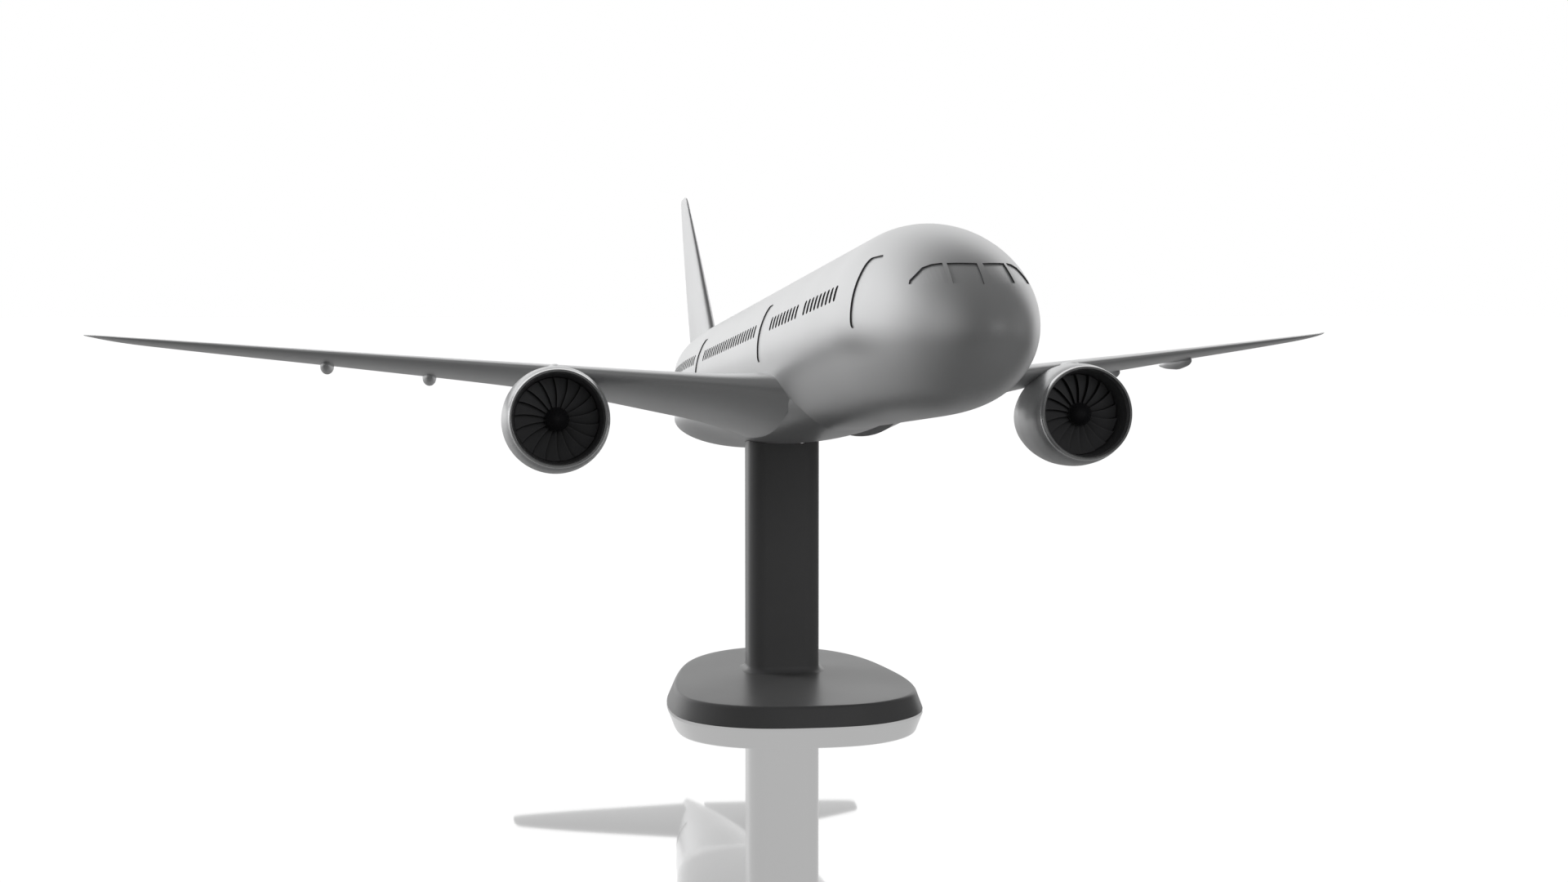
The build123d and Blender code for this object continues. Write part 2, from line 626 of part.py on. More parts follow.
def door_cutters(first_station, last_station, floor):
    """The doors between two stations as blocks that end on the curved pocket floor."""
    with BuildPart() as cutters:
        spots = [
            (rear * METRE - DOOR_WIDTH / 2, (DOOR_TOP + DOOR_BOTTOM) / 2)
            for rear in DOOR_REAR_EDGES if first_station < rear * METRE < last_station
        ]
        with BuildSketch(along(0.4 * HALF_WIDTH)):
            with Locations(*spots):
                RectangleRounded(DOOR_WIDTH, DOOR_TOP - DOOR_BOTTOM, 0.22 * DOOR_WIDTH)
        extrude(amount=0.8 * HALF_WIDTH)
        add(floor, mode=Mode.SUBTRACT)
    return cutters.part


def windscreen_cutters(floor):
    """The left cockpit panes as blocks that end on the curved pocket floor."""
    with BuildPart() as cutters:
        with BuildSketch(facing_nose(WINDSCREEN_REAR)):
            for pane in WINDSCREEN_PANES:
                Polygon(*[metres(*corner) for corner in pane], align=None)
        extrude(amount=WINDSCREEN_REAR)
        add(floor, mode=Mode.SUBTRACT)
    return cutters.part


def boss_spots():
    """Station and height of each seam boss, at mid height of the skin, and the skin's half width."""
    for metres_aft in SEAM_BOSS_STATIONS:
        half_width, top, bottom = fuselage_section(metres_aft * METRE)
        yield metres_aft * METRE, (top + bottom) / 2, half_width


def shell_segment(index, cutters):
    """Left half of the nose (index 0), cabin (1) or tail (2), with its pockets."""
    with BuildPart() as segment:
        add(skin[index])
        add(cavity[index], mode=Mode.SUBTRACT)
        split(bisect_by=Plane.YZ, keep=Keep.TOP)
        for cutter in cutters:
            add(cutter, mode=Mode.SUBTRACT)
    return segment.part


cabin_start = NOSE_LENGTH + STRAIGHT_RUN
cabin_end = TAIL_START - STRAIGHT_RUN
segment_cutters = (
    (window_cutters(0, cabin_start), door_cutters(0, cabin_start, pocket_floor[0]),
     windscreen_cutters(pocket_floor[0])),
    (window_cutters(cabin_start, cabin_end), door_cutters(cabin_start, cabin_end, pocket_floor[1])),
    (window_cutters(cabin_end, FUSELAGE_LENGTH), door_cutters(cabin_end, FUSELAGE_LENGTH, pocket_floor[2])),
)

with BuildPart() as fuselage_left_shell:
    for index, cutters in enumerate(segment_cutters):
        add(shell_segment(index, cutters))
    for station, height, half_width in boss_spots():
        seam = Plane((0, station, height), x_dir=(0, 1, 0), z_dir=(1, 0, 0))
        with BuildSketch(seam):
            Circle(SEAM_BOSS_RADIUS)
        extrude(amount=half_width - SHELL_WALL / 2)
        with BuildSketch(seam):
            Circle(DOWEL_RADIUS)
        extrude(amount=DOWEL_LENGTH / 2, mode=Mode.SUBTRACT)
    for piece in (wings[1, 1], wings[1, -1], tailplanes[1], fin, socket_opening, wing_spar.part, spar_screws.part):
        add(piece, mode=Mode.SUBTRACT)

fuselage_right_shell = mirror(fuselage_left_shell.part, about=Plane.YZ)

with BuildPart() as fuselage_dowels:
    for station, height, _ in boss_spots():
        with BuildSketch(Plane((0, station, height), x_dir=(0, 1, 0), z_dir=(1, 0, 0))):
            Circle(DOWEL_RADIUS)
    extrude(amount=DOWEL_LENGTH / 2, both=True)

with BuildPart() as belly_fairing:
    add(fairing_form.part)
    for piece in (*skin, *wings.values(), socket_opening, wing_spar.part):
        add(piece, mode=Mode.SUBTRACT)


# ---------------------------------------------------------------- spar tunnel and tailplane pin
def spar_fitted(piece):
    """A wing half with the tunnel that the spar fills."""
    with BuildPart() as fitted:
        add(piece)
        add(wing_spar.part, mode=Mode.SUBTRACT)
    return fitted.part


with BuildPart() as tailplane_pin:
    with BuildSketch(Plane((0, TAILPLANE_PIN_STATION, TAILPLANE_PIN_HEIGHT), x_dir=(0, 1, 0), z_dir=(1, 0, 0))):
        Circle(TAILPLANE_PIN_RADIUS)
    extrude(amount=TAILPLANE_PIN_HALF_LENGTH, both=True)


# ---------------------------------------------------------------- engine, on its own axis
def ring_of(points):
    """Turn points of (metres aft, radius in metres) into (radius, height) on the engine's axis."""
    return [(radius * METRE, -aft * METRE) for aft, radius in points]


with BuildPart() as cowl:
    with BuildSketch(Plane.XZ):
        with BuildLine():
            outside = Spline(*ring_of(COWL_OUTSIDE))
            edge = Line(outside @ 1, ring_of(COWL_INSIDE)[0])
            inside = Spline(*ring_of(COWL_INSIDE), tangents=((1, 3), (0, 1)))
            duct = Line(inside @ 1, (DUCT_RADIUS, -LIP_LENGTH))
            Line(duct @ 1, outside @ 0)
        make_face()
    revolve(axis=Axis.Z)

with BuildPart() as intake_lip:
    with BuildSketch(Plane.XZ):
        with BuildLine():
            rim = Spline(
                (DUCT_RADIUS, -LIP_LENGTH), (LIP_RADIUS, 0), ring_of(COWL_OUTSIDE)[0],
                tangents=((0, 1), (0.3, -1)),
            )
            Line(rim @ 1, rim @ 0)
        make_face()
    revolve(axis=Axis.Z)

with BuildPart() as fan_shaft:
    with BuildSketch(Plane.XY.offset(-FAN_FRONT + 0.3 * SPINNER_LENGTH)):
        Circle(FAN_SHAFT_RADIUS)
    shaft_end = STATOR_FRONT + STATOR_LENGTH + COLLAR_GAP + COLLAR_LENGTH
    extrude(amount=-(shaft_end - FAN_FRONT + 0.3 * SPINNER_LENGTH))

with BuildPart() as fan_blade:
    fan_middle = -FAN_FRONT - FAN_LENGTH / 2
    for share, stagger in zip((BLADE_ROOT * FAN_HUB_RADIUS / DUCT_RADIUS, 0.55, 1), BLADE_STAGGER):
        turn = radians(stagger)
        half_chord = 0.47 * FAN_LENGTH / cos(turn)
        reach = share * (DUCT_RADIUS - FAN_TIP_GAP)
        radius = (reach ** 2 - (share * half_chord * sin(turn)) ** 2) ** 0.5
        with BuildSketch(Plane((radius, 0, fan_middle), x_dir=(0, sin(turn), cos(turn)), z_dir=(-1, 0, 0))):
            Ellipse(half_chord, BLADE_THICKNESS / 2)
    loft()

with BuildPart() as fan_rotor:
    with Locations((0, 0, -FAN_FRONT)):
        Cylinder(FAN_HUB_RADIUS, FAN_LENGTH, align=(Align.CENTER, Align.CENTER, Align.MAX))
    with PolarLocations(0, FAN_BLADES):
        add(fan_blade.part)
    add(fan_shaft.part, mode=Mode.SUBTRACT)

with BuildPart() as fan_spinner:
    with BuildSketch(Plane.XZ):
        with BuildLine():
            base = Line((0, -FAN_FRONT), (FAN_HUB_RADIUS, -FAN_FRONT))
            ogive = Spline(
                base @ 1, (0.62 * FAN_HUB_RADIUS, -FAN_FRONT + 0.55 * SPINNER_LENGTH),
                (0, -FAN_FRONT + SPINNER_LENGTH), tangents=((-0.15, 1), (-0.75, 1)),
            )
            Line(ogive @ 1, base @ 0)
        make_face()
    revolve(axis=Axis.Z)
    add(fan_shaft.part, mode=Mode.SUBTRACT)

with BuildPart() as fan_collar:
    with BuildSketch(Plane.XY.offset(-STATOR_FRONT - STATOR_LENGTH - COLLAR_GAP)):
        Circle(BUSH_RADIUS)
        Circle(FAN_SHAFT_RADIUS, mode=Mode.SUBTRACT)
    extrude(amount=-COLLAR_LENGTH)

with BuildPart() as fan_bush:
    with BuildSketch(Plane.XY.offset(-STATOR_FRONT)):
        Circle(BUSH_RADIUS)
        Circle(FAN_SHAFT_RADIUS + FAN_SHAFT_CLEARANCE, mode=Mode.SUBTRACT)
    extrude(amount=-STATOR_LENGTH)

with BuildPart() as stator:
    with BuildSketch(Plane.XY.offset(-STATOR_FRONT)):
        Circle(DUCT_RADIUS)
        Circle(DUCT_RADIUS - STATOR_RING, mode=Mode.SUBTRACT)
        Circle(CORE_FRONT_RADIUS)
        with PolarLocations(CORE_FRONT_RADIUS - STATOR_RING, STATOR_VANES):
            Rectangle(DUCT_RADIUS - CORE_FRONT_RADIUS + STATOR_RING, VANE_THICKNESS,
                      align=(Align.MIN, Align.CENTER))
        Circle(BUSH_RADIUS, mode=Mode.SUBTRACT)
    extrude(amount=-STATOR_LENGTH)
    add(cowl.part, mode=Mode.SUBTRACT)

with BuildPart() as core_nozzle:
    core_front = STATOR_FRONT + STATOR_LENGTH
    with BuildSketch(Plane.XZ):
        Polygon(
            (CORE_FRONT_RADIUS, -core_front), (CORE_REAR_RADIUS, -CORE_REAR),
            (CORE_REAR_RADIUS - CORE_WALL / 2, -CORE_REAR), (CORE_FRONT_RADIUS - CORE_WALL, -core_front),
            align=None,
        )
    revolve(axis=Axis.Z)

with BuildPart() as exhaust_plug:
    with BuildSketch(Plane.XZ):
        Polygon(
            (0, -PLUG_FRONT), (CORE_FRONT_RADIUS, -PLUG_FRONT), (CORE_FRONT_RADIUS, -PLUG_FRONT - CORE_WALL),
            (PLUG_RADIUS, -PLUG_FRONT - CORE_WALL), (PLUG_RADIUS, -PLUG_NECK), (0, -PLUG_REAR),
            align=None,
        )
    revolve(axis=Axis.Z)
    add(core_nozzle.part, mode=Mode.SUBTRACT)
exhaust_plug_body = exhaust_plug.part.solids().sort_by(SortBy.VOLUME)[-1]


def pylon(hand):
    """The strut between one wing and its engine."""
    with BuildPart() as strut:
        with BuildSketch(along(hand * ENGINE_SPAN - PYLON_THICKNESS / 2)):
            Polygon(*[metres(*point) for point in PYLON_OUTLINE], align=None)
        extrude(amount=PYLON_THICKNESS)
        for piece in (cowl, core_nozzle, stator):
            add(piece.part.moved(engine_place(hand)), mode=Mode.SUBTRACT)
        add(wings[hand, 1], mode=Mode.SUBTRACT)
        add(wings[hand, -1], mode=Mode.SUBTRACT)
    return strut.part.solids().sort_by(SortBy.VOLUME)[-1]


# ---------------------------------------------------------------- writing the airliner
write_piece(wing_spar.part, "wing_spar", on_stand)
write_piece(spar_saddle.part, "spar_saddle", on_stand)
write_piece(spar_screws.part, "spar_screws", on_stand)
write_piece(stand_socket.part, "stand_socket", on_stand)
write_piece(fuselage_left_shell.part, "fuselage_left_shell", on_stand)
write_piece(fuselage_right_shell, "fuselage_right_shell", on_stand)
write_piece(fuselage_dowels.part, "fuselage_dowels", on_stand)
write_piece(belly_fairing.part, "belly_fairing", on_stand)
write_piece(fin, "tail_fin", on_stand)
write_piece(tailplane_pin.part, "tailplane_pin", on_stand)

for hand, name in ((1, "left"), (-1, "right")):
    write_piece(spar_fitted(wings[hand, 1]), f"wing_{name}_upper", on_stand)
    write_piece(spar_fitted(wings[hand, -1]), f"wing_{name}_lower", on_stand)
    write_piece(flap_pods[hand], f"flap_fairings_{name}", on_stand)
    write_piece(tailplanes[hand] - tailplane_pin.part, f"tailplane_{name}", on_stand)
    write_piece(pylon(hand), f"pylon_{name}", on_stand)
    on_engine = on_stand * engine_place(hand)
    write_piece(cowl.part, f"cowl_{name}", on_engine)
    write_piece(intake_lip.part, f"intake_lip_{name}", on_engine)
    write_piece(stator.part, f"stator_{name}", on_engine)
    write_piece(fan_bush.part, f"fan_bush_{name}", on_engine)
    write_piece(core_nozzle.part, f"core_nozzle_{name}", on_engine)
    write_piece(exhaust_plug_body, f"exhaust_plug_{name}", on_engine)
    write_piece(fan_rotor.part, f"fan_rotor_{name}", on_engine)
    write_piece(fan_spinner.part, f"fan_spinner_{name}", on_engine)
    write_piece(fan_shaft.part, f"fan_shaft_{name}", on_engine)
    write_piece(fan_collar.part, f"fan_collar_{name}", on_engine)
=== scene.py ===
import json
import math

import bmesh
import bpy
import numpy as np
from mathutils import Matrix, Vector


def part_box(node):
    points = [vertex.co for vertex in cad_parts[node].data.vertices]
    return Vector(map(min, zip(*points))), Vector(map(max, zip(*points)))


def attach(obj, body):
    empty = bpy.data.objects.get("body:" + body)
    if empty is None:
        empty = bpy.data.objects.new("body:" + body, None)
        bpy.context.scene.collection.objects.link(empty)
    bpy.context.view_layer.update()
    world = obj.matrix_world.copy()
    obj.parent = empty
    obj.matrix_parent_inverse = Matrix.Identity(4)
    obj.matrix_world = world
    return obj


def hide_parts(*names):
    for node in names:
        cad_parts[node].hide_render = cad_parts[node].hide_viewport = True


# Desktop display model of a long-range twin-engine wide-body airliner on its stand.
# The airliner is described level, in full-size metres: X to its left wing, Y the station aft of the
# nose tip, Z the height over the fuselage's axis. `on_stand` turns that into the row frame.

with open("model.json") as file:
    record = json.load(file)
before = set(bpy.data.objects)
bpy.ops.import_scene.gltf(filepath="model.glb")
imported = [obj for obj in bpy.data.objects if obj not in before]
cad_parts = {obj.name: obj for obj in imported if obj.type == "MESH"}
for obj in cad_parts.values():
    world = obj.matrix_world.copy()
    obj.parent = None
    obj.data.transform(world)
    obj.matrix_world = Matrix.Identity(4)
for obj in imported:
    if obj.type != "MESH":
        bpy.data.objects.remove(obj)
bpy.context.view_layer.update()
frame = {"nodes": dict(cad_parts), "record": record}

FULL = 1 / 144                      # one full-size metre, in metres of the model
NOSE_UP = math.radians(5.2)
COLUMN_STATION = 33.48
COLUMN_DEPTH = 13.95

LENGTH = 62.8
HALF_WIDTH = 2.88
CROWN = 2.96
KEEL = -3.15
NOSE_LENGTH = 8.8
NOSE_TIP = -0.95
TAIL_START = 40.0
TAIL_TIP = (0.22, 1.77, 1.17)       # half width, top and bottom
NOSE_CURVES = ((2, 2), (1.8, 1.6), (3.7, 2))    # fullness and bluntness: sides, crown, keel
TAIL_CURVES = (1.82, 3.4, 1.42)     # exponents of the taper: sides, crown, keel
TAIL_CAP = 0.15                     # length over which the tail's end is rounded off
SHELL_WALL = 0.259
CAVITY = (1.1, 59.0)                # stations between which the fuselage is hollow
POCKET_DEPTH = 0.046
POCKET_LID = 0.25                   # how far the cutters of the pockets stand out of the skin
SOCKET_HALF = (0.0075, 0.006)       # row frame, in metres of the model
SOCKET_TOP = 0.095

WINDOW_PITCH = 0.611
WINDOW_SIZE = (0.33, 0.50)
WINDOW_HEIGHT = 0.78
WINDOW_CORNER = 0.11
WINDOW_ROWS = ((8.30, 9), (14.63, 9), (23.07, 23), (39.71, 20))     # first station, count
DOOR_REAR_EDGES = (6.27, 21.97, 38.67, 54.4)
DOOR_SIZE = (1.07, 2.14)
DOOR_HEIGHT = 0.58
DOOR_CORNER = 0.23

# Cockpit panes of the left side seen from the front, X and height: bottom edge, then top edge.
PANES = (
    (((0.13, 0.30), (0.90, 0.38)), ((0.08, 0.99), (0.84, 1.04))),
    (((1.00, 0.40), (1.80, 0.50)), ((0.94, 1.06), (1.20, 1.05), (1.42, 0.97), (1.76, 0.62))),
)

FAIRING_WIDEST = -1.9               # height of the belly fairing's widest line
FAIRING_UPPER = 1.0                 # its reach over that line
FAIRING = (                         # station, half width, bottom
    (17.0, 1.70, -2.75), (20.0, 2.55, -3.12), (24.0, 3.10, -3.32), (28.5, 3.40, -3.38),
    (33.0, 3.35, -3.36), (38.5, 3.75, -3.36), (43.0, 3.20, -3.05), (47.0, 1.50, -1.95),
)
WING = (                            # span, leading edge station and height, chord, drop, thickness
    (2.20, 18.6, -1.65, 12.6, 1.05, 0.125), (5.00, 20.9, -1.27, 10.2, 0.82, 0.120),
    (10.3, 25.2, -0.53, 7.20, 0.42, 0.110), (18.0, 31.3, 0.50, 4.80, 0.26, 0.100),
    (26.0, 37.7, 1.57, 2.90, 0.14, 0.090), (28.4, 39.9, 1.91, 2.20, 0.09, 0.080),
    (29.75, 41.6, 2.14, 1.30, 0.04, 0.070), (30.5, 43.2, 2.30, 0.35, 0.00, 0.060),
)
WING_TIP_START = 28.4               # span where the raked tip begins
WING_ROOT_FLARE = (0.34, 3.0)       # swelling at the root and the span over which it fades
TRAILING_EDGE = 0.012               # half thickness added towards the trailing edge
TAILPLANE = (
    (0.60, 54.3, 0.45, 5.60, 0, 0.105), (9.50, 60.88, 1.757, 2.02, 0, 0.090),
    (9.90, 61.25, 1.815, 1.72, 0, 0.085), (10.10, 61.62, 1.845, 1.32, 0, 0.075),
    (10.18, 62.0, 1.86, 0.85, 0, 0.060),
)
FIN = (                             # height, leading edge station, chord, thickness
    (2.20, 50.9, 9.1, 0.095), (3.30, 52.03, 8.45, 0.095), (11.05, 60.45, 2.82, 0.090),
    (11.40, 60.87, 2.45, 0.085), (11.57, 61.20, 2.10, 0.075), (11.65, 61.60, 1.55, 0.055),
)
PODS = (8.4, 15.0, 19.3)            # spans of the flap-track fairings
POD_LENGTH = 4.0
POD_RADIUS = 0.30
POD_SHAPE = ((0, 0), (0.04, 0.38), (0.12, 0.70), (0.40, 1), (0.75, 0.64), (0.93, 0.25), (1, 0))

ENGINE = (10.36, 22.30, -2.51)      # span, station of the intake plane and height of the axis
# Profiles: distance behind the intake plane and radius.
COWL_OUTSIDE = (
    (0.30, 1.88), (0.60, 1.97), (1.1, 2.03), (1.7, 2.06), (2.6, 2.02), (3.6, 1.87), (4.6, 1.62),
)
COWL_INSIDE = ((0.30, 1.70), (0.90, 1.62), (2.3, 1.62), (3.6, 1.60), (4.6, 1.56))
LIP_MIDDLE = (1.79, 0.09, 0.30)     # radius, half thickness and length of the intake lip
FAN_FRONT = 0.95
FAN_LENGTH = 0.50
FAN_TIP = 1.59
FAN_HUB = 0.46
FAN_BORE = 0.16
FAN_BLADES = 18
BLADE_ROOT = 0.36
BLADE_STAGGER = (34, 68)            # degrees at the root and at the tip
BLADE_COVER = 0.472                 # half of the circle's share that each blade covers
BLADE_THICKNESS = 0.016
BLADE_CAMBER = 0.06
BLADE_LEAN = (0.18, -0.10)          # turn of the tip in radians: quadratic and linear share
SHADE_BAFFLE_FRONT = 1.60                 # black baffle across the duct behind the fan, a sheet of painted shade for the dark inside of the engine
SHADE_BAFFLE_REAR = 1.66
SHADE_BAFFLE_HOLE = 0.30
SPINNER_LENGTH = 0.62
CORE = ((2.25, 1.00), (5.60, 0.66), (5.60, 0.60), (2.25, 0.88))
PLUG = (
    (3.00, 0.0), (3.00, 0.95), (3.12, 0.93), (3.12, 0.40),
    (5.20, 0.40), (5.62, 0.30), (6.15, 0.12), (6.50, 0.0),
)
# Strut between wing and engine, in stations and in heights over the fuselage's axis.
PYLON_TOP = ((23.25, -0.66), (23.5, -0.47), (24.0, -0.36), (24.8, -0.33), (25.9, -0.44), (30.6, -0.87))
PYLON_BOTTOM = ((23.25, -0.72), (24.9, -0.80), (25.0, -1.55), (27.9, -1.91), (29.2, -1.35), (30.6, -0.91))
PYLON_HALF_WIDTH = 0.23


# ---------------------------------------------------------------- numbers into shapes
def pitched(p, angle):
    """Vectors turned about the X axis, positive for nose up."""
    c, s = math.cos(angle), math.sin(angle)
    return np.stack((p[..., 0], c * p[..., 1] + s * p[..., 2], c * p[..., 2] - s * p[..., 1]), -1)


def on_stand(points):
    """Points of the level airliner, in full-size metres, as points of the row frame."""
    return pitched((np.asarray(points, float) + (0, -COLUMN_STATION, COLUMN_DEPTH)) * FULL, NOSE_UP)


def level(points):
    """The inverse of on_stand."""
    return pitched(np.asarray(points, float), -NOSE_UP) / FULL - (0, -COLUMN_STATION, COLUMN_DEPTH)


def from_engine(points, side):
    """Points on an engine's own axis, Z forward, as points of the row frame."""
    p = np.asarray(points, float)
    span, station, height = ENGINE
    return on_stand(np.stack((side * span + p[..., 0], station - p[..., 2], height + p[..., 1]), -1))


def smooth(table, at):
    """Monotone cubic curve through the rows of a table whose first column is the parameter."""
    table = np.asarray(table, float)
    xs, ys = table[:, 0], table[:, 1:]
    step = np.diff(xs)[:, None]
    rise = np.diff(ys, axis=0) / step
    slope = np.zeros_like(ys)
    slope[0], slope[-1] = rise[0], rise[-1]
    before, after = rise[:-1], rise[1:]
    w0, w1 = 2 * step[1:] + step[:-1], step[1:] + 2 * step[:-1]
    same = before * after > 0
    safe0, safe1 = np.where(same, before, 1), np.where(same, after, 1)
    slope[1:-1] = np.where(same, (w0 + w1) / (w0 / safe0 + w1 / safe1), 0)
    at = np.atleast_1d(np.asarray(at, float))
    i = np.clip(np.searchsorted(xs, at) - 1, 0, len(xs) - 2)
    t = ((at - xs[i]) / np.diff(xs)[i])[:, None]
    h = np.diff(xs)[i][:, None]
    return ((1 + 2 * t) * (1 - t) ** 2 * ys[i] + t * (1 - t) ** 2 * h * slope[i]
            + t * t * (3 - 2 * t) * ys[i + 1] + t * t * (t - 1) * h * slope[i + 1])


def cosine(count):
    """Shares 0 to 1, closer together at both ends."""
    return (1 - np.cos(np.linspace(0, math.pi, count))) / 2


def section(y):
    """Half width, top and bottom of the fuselage at each station."""
    y = np.asarray(y, float)
    t = np.clip(y / NOSE_LENGTH, 0, 1)
    s = np.clip((y - TAIL_START) / (LENGTH - TAIL_START), 0, 1)

    def swell(fullness, bluntness):
        return (1 - (1 - t) ** fullness) ** (1 / bluntness)

    sides, crown, keel = (swell(*curve) for curve in NOSE_CURVES)
    half = HALF_WIDTH * sides + (TAIL_TIP[0] - HALF_WIDTH) * s ** TAIL_CURVES[0]
    top = NOSE_TIP + (CROWN - NOSE_TIP) * crown + (TAIL_TIP[1] - CROWN) * s ** TAIL_CURVES[1]
    bottom = NOSE_TIP + (KEEL - NOSE_TIP) * keel + (TAIL_TIP[2] - KEEL) * s ** TAIL_CURVES[2]
    return half, top, bottom


def skin_value(p):
    """0 on the fuselage's skin, negative inside."""
    half, top, bottom = section(p[..., 1])
    half, high = np.maximum(half, 1e-3), np.maximum((top - bottom) / 2, 1e-3)
    return (p[..., 0] / half) ** 2 + ((p[..., 2] - (top + bottom) / 2) / high) ** 2 - 1


def skin_normal(p):
    """Outward direction of the skin at points near it, in the level frame."""
    reach = 1e-3
    gradient = np.stack([skin_value(p + step) - skin_value(p - step) for step in reach * np.eye(3)], -1)
    return gradient / np.maximum(np.linalg.norm(gradient, axis=-1, keepdims=True), 1e-12)


# ---------------------------------------------------------------- meshes
def grid(rows, columns, start=0, around=False, closed=False):
    """Quads over a grid of points, the first of them at `start`; `closed` adds both end faces."""
    faces = []
    for r in range(rows - 1):
        for c in range(columns if around else columns - 1):
            a, b = start + r * columns + c, start + r * columns + (c + 1) % columns
            faces.append((a, b, b + columns, a + columns))
    if closed:
        last = start + (rows - 1) * columns
        faces += [tuple(range(start, start + columns)), tuple(range(last, last + columns))]
    return faces


def new_mesh(name, points, faces, materials, indices=None, smooth_faces=True):
    """A closed mesh object with its normals outside and doubled points joined."""
    mesh = bpy.data.meshes.new(name)
    mesh.from_pydata([tuple(p) for p in np.asarray(points, float).reshape(-1, 3)], [], faces)
    for material in materials:
        mesh.materials.append(material)
    if indices is not None:
        mesh.polygons.foreach_set("material_index", indices)
    bm = bmesh.new()
    bm.from_mesh(mesh)
    bmesh.ops.remove_doubles(bm, verts=bm.verts, dist=2e-7)
    bmesh.ops.dissolve_degenerate(bm, edges=bm.edges, dist=1e-8)
    bmesh.ops.recalc_face_normals(bm, faces=bm.faces)
    bm.to_mesh(mesh)
    bm.free()
    mesh.polygons.foreach_set("use_smooth", [smooth_faces] * len(mesh.polygons))
    ob = bpy.data.objects.new(name, mesh)
    bpy.context.scene.collection.objects.link(ob)
    return ob


def sharpen(ob, degrees):
    """Smooth shading that breaks at edges sharper than this."""
    bm = bmesh.new()
    bm.from_mesh(ob.data)
    for edge in bm.edges:
        if len(edge.link_faces) == 2:
            edge.smooth = edge.calc_face_angle(0) < math.radians(degrees)
    bm.to_mesh(ob.data)
    bm.free()
    return ob


def tube(profile, around, place):
    """Points and faces of a closed profile of (aft, radius) turned about the engine's axis."""
    turn = np.linspace(0, 2 * math.pi, around, endpoint=False)
    profile = np.asarray(profile, float)
    rows = np.stack([
        np.outer(profile[:, 1], np.cos(turn)), np.outer(profile[:, 1], np.sin(turn)),
        np.repeat(-profile[:, :1], around, 1),
    ], -1)
    faces = grid(len(profile), around, around=True)
    if profile[0, 1] > 0:
        last = (len(profile) - 1) * around
        faces += [(last + c, last + (c + 1) % around, (c + 1) % around, c) for c in range(around)]
    return place(rows.reshape(-1, 3)), faces


def cut(ob, cutters):
    """Subtracts closed meshes from ob."""
    for cutter in cutters:
        modifier = ob.modifiers.new("cut", "BOOLEAN")
        modifier.operation = "DIFFERENCE"
        modifier.solver = "EXACT"
        modifier.object = cutter
    graph = bpy.context.evaluated_depsgraph_get()
    mesh = bpy.data.meshes.new_from_object(ob.evaluated_get(graph))
    ob.modifiers.clear()
    ob.data = mesh
    for cutter in cutters:
        bpy.data.objects.remove(cutter)
    return ob


# ---------------------------------------------------------------- finishes
CLOUD_SCALE = 45.0
GRAIN_SCALE = 900.0
GRAIN_HEIGHT = 0.0002
GLOSS_VARIATION = 0.12


def finish(name, colour, roughness, metallic=0.0, variation=0.04, grain=0.02):
    """A procedural surface: cloudy colour, uneven gloss and a fine grain."""
    material = bpy.data.materials.new(name)
    material.use_nodes = True
    nodes, links = material.node_tree.nodes, material.node_tree.links
    shader = nodes["Principled BSDF"]
    where = nodes.new("ShaderNodeTexCoord")
    cloud = nodes.new("ShaderNodeTexNoise")
    cloud.inputs["Scale"].default_value = CLOUD_SCALE
    cloud.inputs["Detail"].default_value = 5
    ramp = nodes.new("ShaderNodeMix")
    ramp.data_type = "RGBA"
    ramp.inputs[6].default_value = tuple(c * (1 - variation) for c in colour) + (1,)
    ramp.inputs[7].default_value = tuple(min(1, c * (1 + variation)) for c in colour) + (1,)
    gloss = nodes.new("ShaderNodeMapRange")
    gloss.inputs["To Min"].default_value = roughness * (1 - GLOSS_VARIATION)
    gloss.inputs["To Max"].default_value = roughness * (1 + GLOSS_VARIATION)
    fine = nodes.new("ShaderNodeTexNoise")
    fine.inputs["Scale"].default_value = GRAIN_SCALE
    fine.inputs["Detail"].default_value = 3
    bump = nodes.new("ShaderNodeBump")
    bump.inputs["Strength"].default_value = grain
    bump.inputs["Distance"].default_value = GRAIN_HEIGHT
    for source, target in (
        (where.outputs["Object"], cloud.inputs["Vector"]),
        (where.outputs["Object"], fine.inputs["Vector"]),
        (cloud.outputs["Fac"], ramp.inputs[0]),
        (cloud.outputs["Fac"], gloss.inputs["Value"]),
        (fine.outputs["Fac"], bump.inputs["Height"]),
        (ramp.outputs[2], shader.inputs["Base Color"]),
        (gloss.outputs["Result"], shader.inputs["Roughness"]),
        (bump.outputs["Normal"], shader.inputs["Normal"]),
    ):
        links.new(source, target)
    shader.inputs["Metallic"].default_value = metallic
    return material


